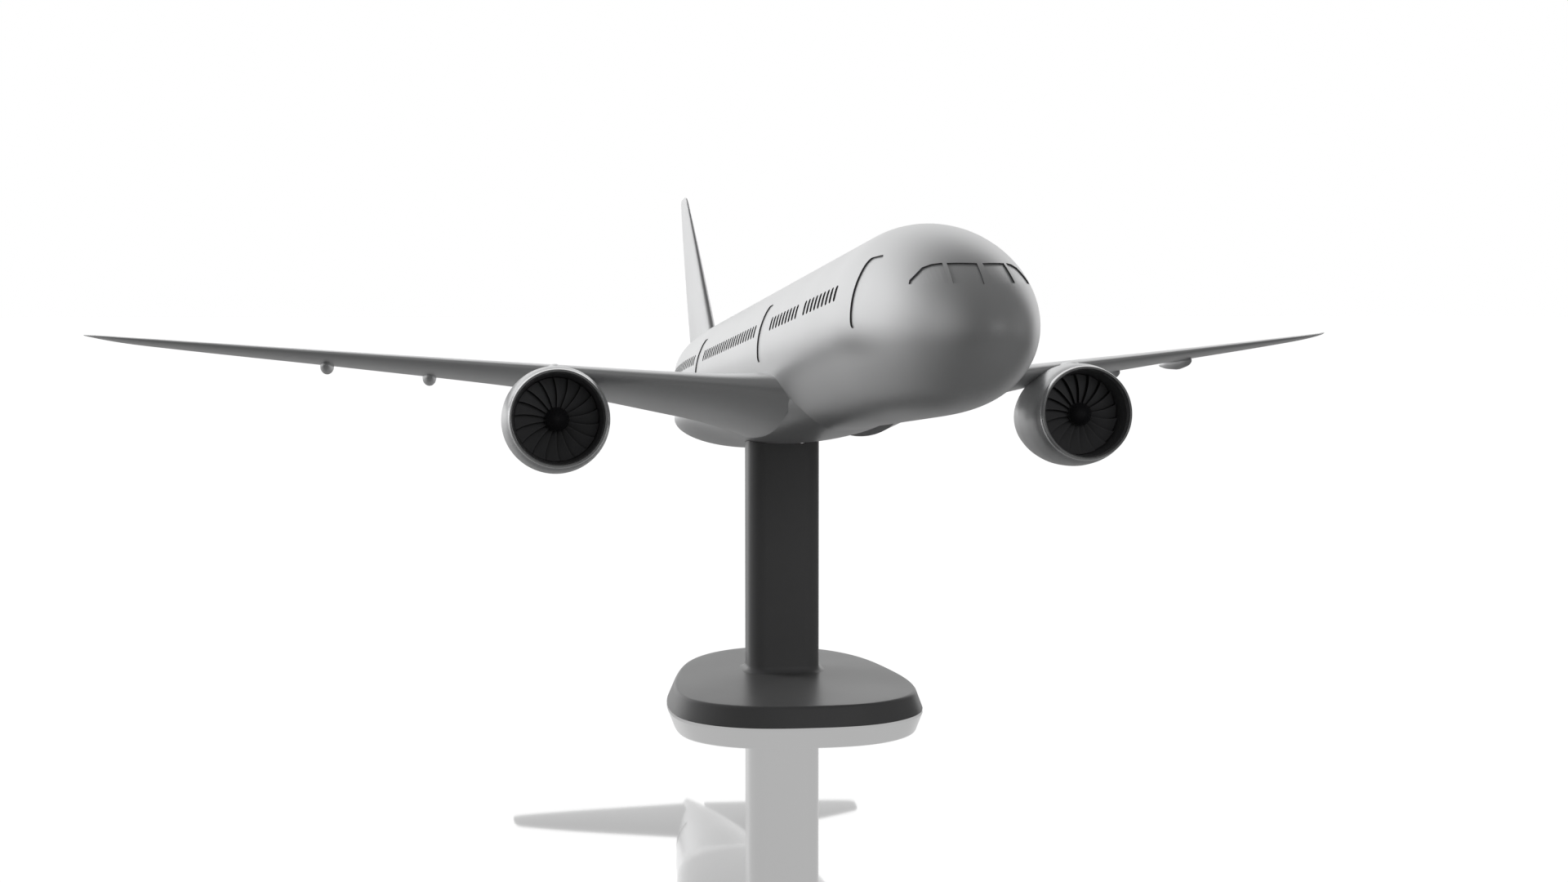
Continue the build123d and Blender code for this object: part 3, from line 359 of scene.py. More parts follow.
finishes = {
    "airframe_white": finish(
        "airframe_white", (0.80, 0.805, 0.81), 0.33, metallic=0.6, variation=0.012, grain=0.03,
    ),
    "intake_lip": finish("intake_lip", (0.85, 0.855, 0.86), 0.22, metallic=0.9, variation=0.02),
    "fan_black": finish("fan_black", (0.10, 0.10, 0.104), 0.45, variation=0.10),
    "exhaust_metal": finish("exhaust_metal", (0.33, 0.32, 0.31), 0.42, metallic=0.9, variation=0.08),
    "stand_charcoal": finish("stand_charcoal", (0.15, 0.15, 0.152), 0.34, variation=0.06, grain=0.05),
    "inner_plastic": finish("inner_plastic", (0.30, 0.30, 0.31), 0.50, variation=0.05, grain=0.06),
    "ballast_steel": finish("ballast_steel", (0.40, 0.40, 0.41), 0.45, metallic=1.0, variation=0.08),
    "bright_steel": finish("bright_steel", (0.62, 0.62, 0.64), 0.28, metallic=1.0, variation=0.03),
    "spar_aluminium": finish("spar_aluminium", (0.75, 0.76, 0.78), 0.35, metallic=1.0, variation=0.03),
    "bush_brass": finish("bush_brass", (0.75, 0.60, 0.30), 0.30, metallic=1.0, variation=0.04),
    "pad_rubber": finish("pad_rubber", (0.03, 0.03, 0.03), 0.75, variation=0.15, grain=0.20),
}
# The spinner is darker than the fan's own black: the extra darkness is painted shade for the depth of the
# intake.
spinner_black_painted_shade = finish("spinner_black_painted_shade", (0.02, 0.02, 0.022), 0.30, variation=0.10)
# Dark walls of the window, door and cockpit pane pockets: painted shade, since the skin is white there.
pocket_wall_painted_shade = finish("pocket_wall_painted_shade", (0.10, 0.10, 0.105), 0.55, variation=0.05)
white, charcoal, black = finishes["airframe_white"], finishes["stand_charcoal"], finishes["fan_black"]


def piece(ob, body, slot, *nodes):
    """Puts a finished piece on its body, in place of the CAD nodes it stands for."""
    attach(ob, body)
    if nodes:
        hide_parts(*nodes)
    return ob


# ---------------------------------------------------------------- fuselage
SKIN_COLUMNS = 121                  # round half a section: outside, and inside the cavity
CAVITY_COLUMNS = 25


def fuselage_rows(inset):
    """Stations of the skin, close together at both ends."""
    nose = NOSE_LENGTH * np.linspace(0, 1, 90) ** 2.4
    cabin = np.linspace(NOSE_LENGTH, TAIL_START, 110)[1:]
    tail = np.linspace(TAIL_START, LENGTH - TAIL_CAP, 100)[1:]
    tip = LENGTH - TAIL_CAP + TAIL_CAP * np.sin(np.linspace(0, math.pi / 2, 9))[1:]
    rows = np.concatenate((nose, cabin, tail, tip))
    return rows if inset == 0 else CAVITY[0] + rows / LENGTH * (CAVITY[1] - CAVITY[0])


def half_rings(rows, inset, columns, side):
    """Half sections of the fuselage from the crown round one side to the keel."""
    half, top, bottom = section(rows)
    close = 1
    if inset == 0:
        past = np.clip(rows - (LENGTH - TAIL_CAP), 0, None) / TAIL_CAP
        close = np.sqrt(np.clip(1 - past ** 2, 0, 1))
    width = (half - inset) * close
    high = ((top - bottom) / 2 - inset) * close
    turn = np.linspace(0, math.pi, columns)
    x = side * np.outer(width, np.sin(turn))
    z = ((top + bottom) / 2)[:, None] + np.outer(high, np.cos(turn))
    return np.stack((x, np.repeat(rows[:, None], columns, 1), z), -1)


def fuselage_half(side):
    """One hollow moulded half as a closed mesh."""
    outer_rows, inner_rows = fuselage_rows(0), fuselage_rows(SHELL_WALL)
    outer_columns, inner_columns = SKIN_COLUMNS, CAVITY_COLUMNS
    outer = half_rings(outer_rows, 0, outer_columns, side)
    inner = half_rings(inner_rows, SHELL_WALL, inner_columns, side)
    count, start = len(outer_rows), outer[..., 0].size
    faces = grid(count, outer_columns) + grid(count, inner_columns, start)
    for outer_edge, inner_edge in ((0, 0), (outer_columns - 1, inner_columns - 1)):
        for r in range(count - 1):
            a, b = r * outer_columns + outer_edge, start + r * inner_columns + inner_edge
            faces.append((a, a + outer_columns, b + inner_columns, b))
    for row in (0, count - 1):
        first = start + row * inner_columns
        faces.append(tuple(range(first, first + inner_columns)))
        faces.append((row * outer_columns, first, first + inner_columns - 1))
    points = on_stand(np.concatenate((outer.reshape(-1, 3), inner.reshape(-1, 3))))
    name = "fuselage_skin_left" if side > 0 else "fuselage_skin_right"
    return new_mesh(name, points, faces, [white, pocket_wall_painted_shade])


def on_skin(y, z, side):
    """Points of the skin's side at stations and heights."""
    half, top, bottom = section(y)
    share = np.clip((z - (top + bottom) / 2) / ((top - bottom) / 2), -1, 1)
    return np.stack((side * half * np.sqrt(1 - share ** 2), y, z), -1)


def pocket(rows):
    """Closed cutter from a grid of points on the skin: sunk floor, walls and a lid outside; the walls take
    the dark painted shade.
    """
    out = skin_normal(rows)
    count, columns = rows.shape[:2]
    floor, lid = rows - out * POCKET_DEPTH, rows + out * POCKET_LID
    start = count * columns
    edge = list(range(columns))
    edge += [r * columns + columns - 1 for r in range(1, count)]
    edge += [(count - 1) * columns + c for c in range(columns - 2, -1, -1)]
    edge += [r * columns for r in range(count - 2, 0, -1)]
    faces = grid(count, columns) + grid(count, columns, start)
    indices = [0] * len(faces)
    for a, b in zip(edge, edge[1:] + edge[:1]):
        faces.append((a, b, b + start, a + start))
        indices.append(1)
    return np.concatenate((floor.reshape(-1, 3), lid.reshape(-1, 3))), faces, indices


def rounded_side(y, z, size, corner, side, rows, columns):
    """Grid over a rounded rectangle on the skin's side."""
    width, height = size
    up = (cosine(rows) * 2 - 1) * height / 2
    past = np.clip(np.abs(up) - (height / 2 - corner), 0, None)
    reach = width / 2 - corner + np.sqrt(np.clip(corner ** 2 - past ** 2, 0, None))
    stations = y + np.outer(reach, np.linspace(-1, 1, columns))
    return on_skin(stations, np.repeat((z + up)[:, None], columns, 1), side)


def on_nose(x, z):
    """Points of the nose's skin seen from the front at X and height."""
    low, high = np.full(x.shape, 0.01), np.full(x.shape, NOSE_LENGTH)
    for _ in range(40):
        middle = (low + high) / 2
        outside = skin_value(np.stack((x, middle, z), -1)) > 0
        low, high = np.where(outside, middle, low), np.where(outside, high, middle)
    return np.stack((x, low, z), -1)


def pane_grid(bottom_edge, top_edge, side):
    """Grid over one cockpit pane on the nose."""
    across = np.linspace(0, 1, 9)
    rows = []
    for edge in (bottom_edge, top_edge):
        edge = np.array(edge, float)
        run = np.concatenate(([0], np.cumsum(np.linalg.norm(np.diff(edge, axis=0), axis=1))))
        rows.append(np.stack([np.interp(across, run / run[-1], edge[:, k]) for k in (0, 1)], -1))
    up = np.linspace(0, 1, 7)[:, None, None]
    flat = rows[0][None] * (1 - up) + rows[1][None] * up
    return on_nose(side * flat[..., 0], flat[..., 1])


def joined_cutter(name, grids):
    """One mesh out of many pockets."""
    points, faces, indices, start = [], [], [], 0
    for rows in grids:
        p, f, i = pocket(rows)
        points.append(p)
        faces += [tuple(start + v for v in face) for face in f]
        indices += i
        start += len(p)
    return new_mesh(name, on_stand(np.concatenate(points)), faces, [white, pocket_wall_painted_shade], indices)


def opening():
    """Upright cutter for the hole in the belly that the stand's socket looks out of."""
    wide, deep = SOCKET_HALF
    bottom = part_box("stand_socket")[0].z - 0.01
    corners = [(x, y, z) for x in (-wide, wide) for y in (-deep, deep) for z in (bottom, SOCKET_TOP)]
    faces = [(0, 1, 3, 2), (4, 6, 7, 5), (0, 4, 5, 1), (2, 3, 7, 6), (0, 2, 6, 4), (1, 5, 7, 3)]
    return new_mesh("opening", corners, faces, [white], smooth_faces=False)


def shade_skin(ob):
    """Exact normals on the skin, flat ones in the pockets."""
    mesh = ob.data
    corners = np.zeros(len(mesh.loops), int)
    mesh.loops.foreach_get("vertex_index", corners)
    co = np.zeros(len(mesh.vertices) * 3)
    mesh.vertices.foreach_get("co", co)
    points = level(co.reshape(-1, 3))
    n = pitched(skin_normal(points), NOSE_UP)
    on = np.abs(skin_value(points)) < 2e-3
    normals = n[corners]
    for polygon in mesh.polygons:
        loops = range(polygon.loop_start, polygon.loop_start + polygon.loop_total)
        agrees = abs(Vector(n[corners[loops[0]]]).dot(polygon.normal)) > 0.9
        if not (agrees and all(on[corners[loop]] for loop in loops)):
            for loop in loops:
                normals[loop] = polygon.normal
    mesh.normals_split_custom_set(normals.tolist())


for side, hand in ((1, "left"), (-1, "right")):
    grids = [
        rounded_side(first + index * WINDOW_PITCH, WINDOW_HEIGHT, WINDOW_SIZE, WINDOW_CORNER, side, 9, 5)
        for first, count in WINDOW_ROWS for index in range(count)
    ]
    grids += [
        rounded_side(rear - DOOR_SIZE[0] / 2, DOOR_HEIGHT, DOOR_SIZE, DOOR_CORNER, side, 25, 7)
        for rear in DOOR_REAR_EDGES
    ]
    grids += [pane_grid(bottom, top, side) for bottom, top in PANES]
    half = fuselage_half(side)
    cut(half, [joined_cutter("pockets", grids), opening()])
    shade_skin(half)
    piece(half, "airliner", "airframe_white", f"fuselage_{hand}_shell")


# ---------------------------------------------------------------- belly fairing
def fairing_at(y):
    """Half width and bottom of the belly fairing at each station."""
    rows = smooth(FAIRING, y)
    return rows[:, 0], rows[:, 1]


count, columns = 150, 96
stations = np.linspace(FAIRING[0][0], FAIRING[-1][0], count)
half, low = fairing_at(stations)
turn = np.linspace(0, 2 * math.pi, columns, endpoint=False)
depth = np.where(np.sin(turn)[None] < 0, (FAIRING_WIDEST - low)[:, None], FAIRING_UPPER)
rings = np.stack((
    np.outer(half, np.cos(turn)),
    np.repeat(stations[:, None], columns, 1),
    FAIRING_WIDEST + depth * np.sin(turn)[None],
), -1)
faces = grid(count, columns, around=True, closed=True)
fairing = new_mesh("belly_fairing_skin", on_stand(rings), faces, [white])
cut(fairing, [opening()])
sharpen(fairing, 40)
piece(fairing, "airliner", "airframe_white", "belly_fairing")


# ---------------------------------------------------------------- wings and tail
def thickness(share):
    """Half thickness of a 100 % thick symmetric aerofoil."""
    return 5 * (0.2969 * np.sqrt(share) - 0.1260 * share - 0.3516 * share ** 2
                + 0.2843 * share ** 3 - 0.1036 * share ** 4)


def aerofoil_rings(rows, side, upright=False, flare=0.0, flare_end=1.0):
    """Closed aerofoil sections for rows of (span, station, height, chord, drop, thickness)."""
    shares = cosine(45)
    round_trip = np.concatenate((shares[::-1], shares[1:]))
    columns = len(round_trip)
    sign = np.where(np.arange(columns) < len(shares), 1.0, -1.0)
    rings = []
    for span, station, height, chord, drop, ratio in rows:
        swelling = flare * max(0.0, 1 - (span - rows[0][0]) / flare_end) ** 2
        thick = np.maximum(thickness(round_trip), 0) * ratio * chord + TRAILING_EDGE * round_trip
        thick = thick + swelling * (4 * round_trip * (1 - round_trip)) ** 0.5
        along, up = station + round_trip * chord, -round_trip * drop + sign * thick
        if upright:
            rings.append(np.stack((up, along, np.full(columns, height)), -1))
        else:
            rings.append(np.stack((np.full(columns, side * span), along, height + up), -1))
    return np.array(rings)


def surface(name, rings):
    """Closed surface through the sections, with flat ends."""
    faces = grid(*rings.shape[:2], around=True, closed=True)
    return sharpen(new_mesh(name, on_stand(rings), faces, [white]), 35)


tip_length = WING[-1][0] - WING_TIP_START
wing_spans = np.concatenate((
    np.linspace(WING[0][0], WING_TIP_START, 90),
    WING_TIP_START + tip_length * np.sin(np.linspace(0, math.pi / 2, 26))[1:],
))
wing_rows = np.column_stack((wing_spans, smooth(WING, wing_spans)))
tail_spans = np.concatenate((
    np.linspace(TAILPLANE[0][0], TAILPLANE[1][0], 30),
    np.linspace(TAILPLANE[1][0], TAILPLANE[-1][0], 16)[1:],
))
tail_rows = np.column_stack((tail_spans, smooth(TAILPLANE, tail_spans)))
fin_heights = np.concatenate((
    np.linspace(FIN[0][0], FIN[2][0], 30),
    np.linspace(FIN[2][0], FIN[-1][0], 16)[1:],
))
fin_station, fin_chord, fin_thickness = smooth(FIN, fin_heights).T
no_drop = np.zeros_like(fin_heights)
fin_rows = np.column_stack((fin_heights, fin_station, fin_heights, fin_chord, no_drop, fin_thickness))

for side, hand in ((1, "left"), (-1, "right")):
    wing = surface(f"wing_skin_{hand}", aerofoil_rings(wing_rows, side, False, *WING_ROOT_FLARE))
    piece(wing, "airliner", "airframe_white", f"wing_{hand}_upper", f"wing_{hand}_lower")
    tail = surface(f"tailplane_skin_{hand}", aerofoil_rings(tail_rows, side))
    piece(tail, "airliner", "airframe_white", f"tailplane_{hand}")

    points, faces = [], []
    count, columns = 25, 32
    for span in PODS:
        station, height, chord, drop, _ = smooth(WING, [span])[0]
        share = cosine(count)
        radius = POD_RADIUS * np.interp(share, *zip(*POD_SHAPE))
        radius = np.convolve(np.pad(radius, 1, mode="edge"), (0.2, 0.6, 0.2), "valid")
        radius[[0, -1]] = 0.004
        around = np.linspace(0, 2 * math.pi, columns, endpoint=False)
        nose = station + chord - 0.8 * POD_LENGTH
        rings = np.stack((
            side * span + np.outer(radius, np.cos(around)),
            np.repeat((nose + share * POD_LENGTH)[:, None], columns, 1),
            height - drop - 0.5 * POD_RADIUS + np.outer(radius * 1.15, np.sin(around)),
        ), -1)
        faces += grid(count, columns, len(points) * count * columns, around=True, closed=True)
        points.append(rings.reshape(-1, 3))
    pods = new_mesh(f"flap_pods_{hand}", on_stand(np.concatenate(points)), faces, [white])
    piece(pods, "airliner", "airframe_white", f"flap_fairings_{hand}")

fin = surface("fin_skin", aerofoil_rings(fin_rows, 1, upright=True))
piece(fin, "airliner", "airframe_white", "tail_fin")


# ---------------------------------------------------------------- engines
def pylon_rings(side):
    """Cross-sections of the strut between wing and engine, nose first."""
    front, rear = PYLON_TOP[0][0], PYLON_TOP[-1][0]
    y = front + (rear - front) * np.linspace(0, 1, 60) ** 1.3
    high = smooth(PYLON_TOP, y)[:, 0]
    low = np.minimum(np.interp(y, *zip(*PYLON_BOTTOM)), high - 0.02)
    opening_out = np.sqrt(np.clip((y - front + 0.05) / 1.1, 0, 1))
    closing = np.clip((rear + 0.15 - y) / 2.2, 0.05, 1) ** 0.7
    columns = 40
    turn = np.linspace(0, 2 * math.pi, columns, endpoint=False)
    cx = np.sign(np.cos(turn)) * np.abs(np.cos(turn)) ** 0.75
    cz = np.sign(np.sin(turn)) * np.abs(np.sin(turn)) ** 0.85
    return np.stack((
        side * ENGINE[0] + np.outer(PYLON_HALF_WIDTH * opening_out * closing, cx),
        np.repeat(y[:, None], columns, 1),
        ((high + low) / 2)[:, None] + np.outer((high - low) / 2, cz),
    ), -1)


def fan_mesh():
    """Hub and twisted blades, as points on the engine's axis and faces."""
    rear = FAN_FRONT + FAN_LENGTH
    hub = ((FAN_FRONT, FAN_BORE), (FAN_FRONT, FAN_HUB), (rear, FAN_HUB), (rear, FAN_BORE))
    hub_points, faces = tube(hub, 64, lambda rows: rows)
    points, start = [hub_points], len(hub_points)
    reach = np.linspace(BLADE_ROOT, FAN_TIP, 16)
    share = (reach - BLADE_ROOT) / (FAN_TIP - BLADE_ROOT)
    stagger = np.radians(BLADE_STAGGER[0] + (BLADE_STAGGER[1] - BLADE_STAGGER[0]) * share ** 0.8)
    half_chord = BLADE_COVER * (2 * math.pi * reach / FAN_BLADES) / np.sin(stagger)
    lean = BLADE_LEAN[0] * share ** 2 + BLADE_LEAN[1] * share
    u = np.linspace(-1, 1, 13)
    outline = np.concatenate((u, u[-2:0:-1]))
    sign = np.concatenate((np.ones(13), -np.ones(11)))
    for blade in range(FAN_BLADES):
        base = 2 * math.pi * blade / FAN_BLADES
        rows = []
        for radius, angle, chord, swing in zip(reach, stagger, half_chord, lean):
            thick = BLADE_THICKNESS * np.sqrt(np.clip(1 - outline ** 2, 0, 1)) * sign
            camber = BLADE_CAMBER * chord * (1 - outline ** 2) + thick
            sideways = outline * chord * math.sin(angle) + camber * math.cos(angle)
            forward = outline * chord * math.cos(angle) - camber * math.sin(angle)
            turn = base + swing + sideways / radius
            rows.append(np.stack((
                radius * np.cos(turn), radius * np.sin(turn), -FAN_FRONT - FAN_LENGTH / 2 + forward,
            ), -1))
        points.append(np.array(rows).reshape(-1, 3))
        faces += grid(len(reach), len(outline), start, around=True, closed=True)
        start += len(reach) * len(outline)
    return np.concatenate(points), faces


fan_points, fan_faces = fan_mesh()
aft = np.linspace(COWL_OUTSIDE[0][0], COWL_OUTSIDE[-1][0], 50)
inside = np.linspace(COWL_INSIDE[-1][0], COWL_INSIDE[0][0], 40)
duct = np.column_stack((inside, smooth(COWL_INSIDE, inside)[:, 0]))
cowl_profile = np.concatenate((
    np.column_stack((aft, smooth(COWL_OUTSIDE, aft)[:, 0])),
    duct[inside > SHADE_BAFFLE_REAR],
    [(SHADE_BAFFLE_REAR, FAN_TIP), (SHADE_BAFFLE_REAR, SHADE_BAFFLE_HOLE)],
    [(SHADE_BAFFLE_FRONT, SHADE_BAFFLE_HOLE), (SHADE_BAFFLE_FRONT, FAN_TIP)],
    duct[inside < SHADE_BAFFLE_FRONT],
))
bend = np.linspace(0, math.pi, 25)
lip_profile = np.column_stack((
    LIP_MIDDLE[2] * (1 - np.sin(bend)), LIP_MIDDLE[0] + LIP_MIDDLE[1] * np.cos(bend),
))
point = np.linspace(0, 1, 24)
spinner_profile = np.concatenate((
    np.column_stack((FAN_FRONT - SPINNER_LENGTH * point[::-1], FAN_HUB * (1 - point[::-1] ** 1.55))),
    ((FAN_FRONT, 0.0),),
))

for side, hand in ((1, "left"), (-1, "right")):
    def place(points, side=side):
        return from_engine(points, side)

    for name, profile, material, slot, body, node in (
        ("cowl_skin", cowl_profile, white, "airframe_white", "airliner", "cowl"),
        ("lip_ring", lip_profile, finishes["intake_lip"], "intake_lip", "airliner", "intake_lip"),
        ("spinner_cone", spinner_profile, spinner_black_painted_shade, "fan_black", f"fan_{hand}", "fan_spinner"),
        ("core_skin", CORE, finishes["exhaust_metal"], "exhaust_metal", "airliner", "core_nozzle"),
        ("plug_cone", PLUG, finishes["exhaust_metal"], "exhaust_metal", "airliner", "exhaust_plug"),
    ):
        around = 144
        points, faces = tube(profile, around, place)
        indices = [0] * len(faces)
        # Inside the cowl, the duct and the baffle take the fan's black: painted shade for the dark inside
        # of the intake.
        if node == "cowl":
            outside = (len(aft) - 1) * around
            indices[outside:] = [1] * (len(faces) - outside)
        ob = sharpen(new_mesh(f"{name}_{hand}", points, faces, [material, black], indices), 35)
        piece(ob, body, slot, f"{node}_{hand}")
    fan = sharpen(new_mesh(f"fan_blades_{hand}", place(fan_points), fan_faces, [black]), 50)
    piece(fan, f"fan_{hand}", "fan_black", f"fan_rotor_{hand}")
    strut = surface(f"pylon_skin_{hand}", pylon_rings(side))
    piece(strut, "airliner", "airframe_white", f"pylon_{hand}")


# ---------------------------------------------------------------- stand
def closed_curve(points, count):
    """Smooth closed curve through points, cubic by chord length."""
    p = np.asarray(points, float)
    n = len(p)
    step = np.linalg.norm(np.roll(p, -1, 0) - p, axis=1)
    matrix, right = np.zeros((n, n)), np.zeros((n, 2))
    for i in range(n):
        a, b = step[i - 1], step[i]
        matrix[i, i - 1] += b
        matrix[i, i] += 2 * (a + b)
        matrix[i, (i + 1) % n] += a
        right[i] = 3 * (b * (p[i] - p[i - 1]) / a + a * (p[(i + 1) % n] - p[i]) / b)
    slope = np.linalg.solve(matrix, right)
    at = np.linspace(0, step.sum(), count, endpoint=False)
    start = np.concatenate(([0], np.cumsum(step)))
    i = np.clip(np.searchsorted(start, at, "right") - 1, 0, n - 1)
    t, h, j = ((at - start[i]) / step[i])[:, None], step[i][:, None], (i + 1) % n
    return ((1 + 2 * t) * (1 - t) ** 2 * p[i] + t * (1 - t) ** 2 * h * slope[i]
            + t * t * (3 - 2 * t) * p[j] + t * t * (t - 1) * h * slope[j])


MM = 0.001
STAND_TURN = math.radians(-3.2)     # the stand looks a little to the airliner's right
# Millimetres: half of the base's outline, from its front to its rear.
BASE_HALF = (
    (0, -59.4), (19, -56.6), (31.5, -45), (34.4, -32),
    (31.6, -2), (24.3, 22), (12.5, 35.4), (0, 39.3),
)
BASE_MIDDLE = (0, -10.05)
BASE_SIDE = (                       # height and spread of the sloping side, rounded at the top
    (0.3, 2.1), (0.45, 2.3), (5.1, 0.30), (5.35, 0.17), (5.55, 0.0),
    (5.72, -0.20), (5.83, -0.42), (5.89, -0.68), (5.9, -1.0),
)
BASE_ROOF_RINGS = (0.92, 0.75, 0.5, 0.25)
COLUMN_HALF = (10.75, 8.7)
COLUMN_CORNER = 5.3
COLUMN_FOOT = (                     # height and spread of the fillet onto the base
    (5.7, 1.9), (5.92, 1.75), (6.02, 1.30), (6.25, 0.80), (6.62, 0.38), (7.1, 0.10), (7.7, 0.0),
)
COLUMN_GAP = 0.12                   # left under the belly
COLUMN_ROOF_RINGS = (0.8, 0.5, 0.2)


def turned(points):
    """Points of the stand turned about the column's axis."""
    p = np.asarray(points, float).copy()
    c, s = math.cos(STAND_TURN), math.sin(STAND_TURN)
    p[..., 0], p[..., 1] = c * p[..., 0] - s * p[..., 1], s * p[..., 0] + c * p[..., 1]
    return p


around = 220
outline = closed_curve(BASE_HALF + tuple((-x, y) for x, y in BASE_HALF[-2:0:-1]), around)
middle = np.array(BASE_MIDDLE)
away = outline - middle
away = away / np.linalg.norm(away, axis=1, keepdims=True)
rows = [np.column_stack((outline + spread * away, np.full(around, height))) for height, spread in BASE_SIDE]
roof_edge, roof = rows[-1][:, :2], BASE_SIDE[-1][0]
for share in BASE_ROOF_RINGS:
    rows.append(np.column_stack((middle + (roof_edge - middle) * share, np.full(around, roof))))
faces = grid(len(rows), around, around=True, closed=True)
base = sharpen(new_mesh("base_body", turned(np.array(rows) * MM), faces, [charcoal]), 30)
piece(base, "stand", "stand_charcoal", "stand_base")


def column_ring(grow, count=40):
    """Rounded rectangle round the column's axis, in millimetres."""
    width, length, corner = COLUMN_HALF[0] + grow, COLUMN_HALF[1] + grow, COLUMN_CORNER + grow
    ring = []
    for quarter, (sx, sy) in enumerate(((1, 1), (-1, 1), (-1, -1), (1, -1))):
        for angle in np.radians(90) * (quarter + np.linspace(0, 1, count // 4)):
            ring.append((
                sx * (width - corner) + corner * math.cos(angle),
                sy * (length - corner) + corner * math.sin(angle),
            ))
    return turned(ring)


def belly_height(xy):
    """Height of the belly over points in the row frame, in metres."""
    low, high = np.full(len(xy), 0.060), np.full(len(xy), 0.085)
    for _ in range(30):
        z = (low + high) / 2
        p = level(np.column_stack((xy, z)))
        wide, bottom = fairing_at(p[:, 1])
        inside = (p[:, 0] / wide) ** 2 + ((p[:, 2] - FAIRING_WIDEST) / (FAIRING_WIDEST - bottom)) ** 2 < 1
        low, high = np.where(inside, low, z), np.where(inside, z, high)
    return low


top_ring = column_ring(0) * MM
around = len(top_ring)
rings = [
    np.column_stack((column_ring(grow) * MM, np.full(around, height * MM))) for height, grow in COLUMN_FOOT
]
top_height = belly_height(top_ring) - COLUMN_GAP * MM
foot_top = COLUMN_FOOT[-1][0] * MM
for share in np.linspace(0.1, 1, 8):
    rings.append(np.column_stack((top_ring, foot_top + (top_height - foot_top) * share)))
for share in COLUMN_ROOF_RINGS:
    rings.append(np.column_stack((top_ring * share, belly_height(top_ring * share) - COLUMN_GAP * MM)))
faces = grid(len(rings), around, around=True, closed=True)
rings = np.array(rings)
post = sharpen(new_mesh("post_body", rings, faces, [charcoal]), 35)
piece(post, "stand", "stand_charcoal", "stand_post")


# ---------------------------------------------------------------- the CAD pieces that stay
for row in frame["record"]["subparts"]:
    ob = frame["nodes"][row["node"]]
    if not ob.hide_render:
        ob.data.materials.clear()
        ob.data.materials.append(finishes[row["material_slot"]])


# ---------------------------------------------------------------- studio
# Soft lights round the model: name, direction, how narrow it is, and strength.
SOFT_LIGHTS = (
    ("right_wall", (1.0, 0.10, 0.05), 8.0, 0.08),
    ("left_wall", (-0.90, 0.40, 0.25), 6.0, 0.30),
    ("ceiling", (0.20, 0.40, 0.90), 6.0, 0.05),
)
BACKDROP = (0.0, 1.0, 0.10)         # middle of the white backdrop behind the model
BACKDROP_EDGE = (0.52, 0.84)        # cosines from its middle where it starts and is full
BACKDROP_TOP = (0.35, 0.95)         # sines of the elevation where it starts to fade and ends
AMBIENT = 0.055
SOFT_BOX_SIZE = 1.0
SOFT_BOXES = (                      # name, place and power
    ("soft_box_front", (0.4, -1.4, 0.5), 4.0),
    ("soft_box_left", (-1.6, 1.3, 0.6), 26.0),
    ("soft_box_right", (1.6, 1.6, 0.8), 10.0),
)
FLOOR_REACH = 30.0
FLOOR_GREY = 0.12
FLOOR_ROUGHNESS = 0.03
FLOOR_WHITE = (1.0, 2.3)            # glow seen from the front, and from behind
FLOOR_TURN = (-0.75, -0.25)         # between these values of the viewing direction's Y
PAINTED_POOL_GLOW = 0.07                    # painted glow of the table round the stand, lighting the model's underside, though the table is no lamp
POOL_REACH = (0.10, 0.45)
FLOOR_MIRROR = 0.58                 # share of the floor's look that is reflection, to the camera
FLOOR_IOR = 1.6                     # of its polish, for the light it reflects onto the model
CAMERA_PLACE = (-0.110, -0.587, 0.114)
CAMERA_AIM = (0.1849, 0.9806, -0.0654)
CAMERA_LENS = 45.64


def set_range(node, source, target):
    """Sets what a Map Range node maps from and to."""
    node.inputs["From Min"].default_value, node.inputs["From Max"].default_value = source
    node.inputs["To Min"].default_value, node.inputs["To Max"].default_value = target


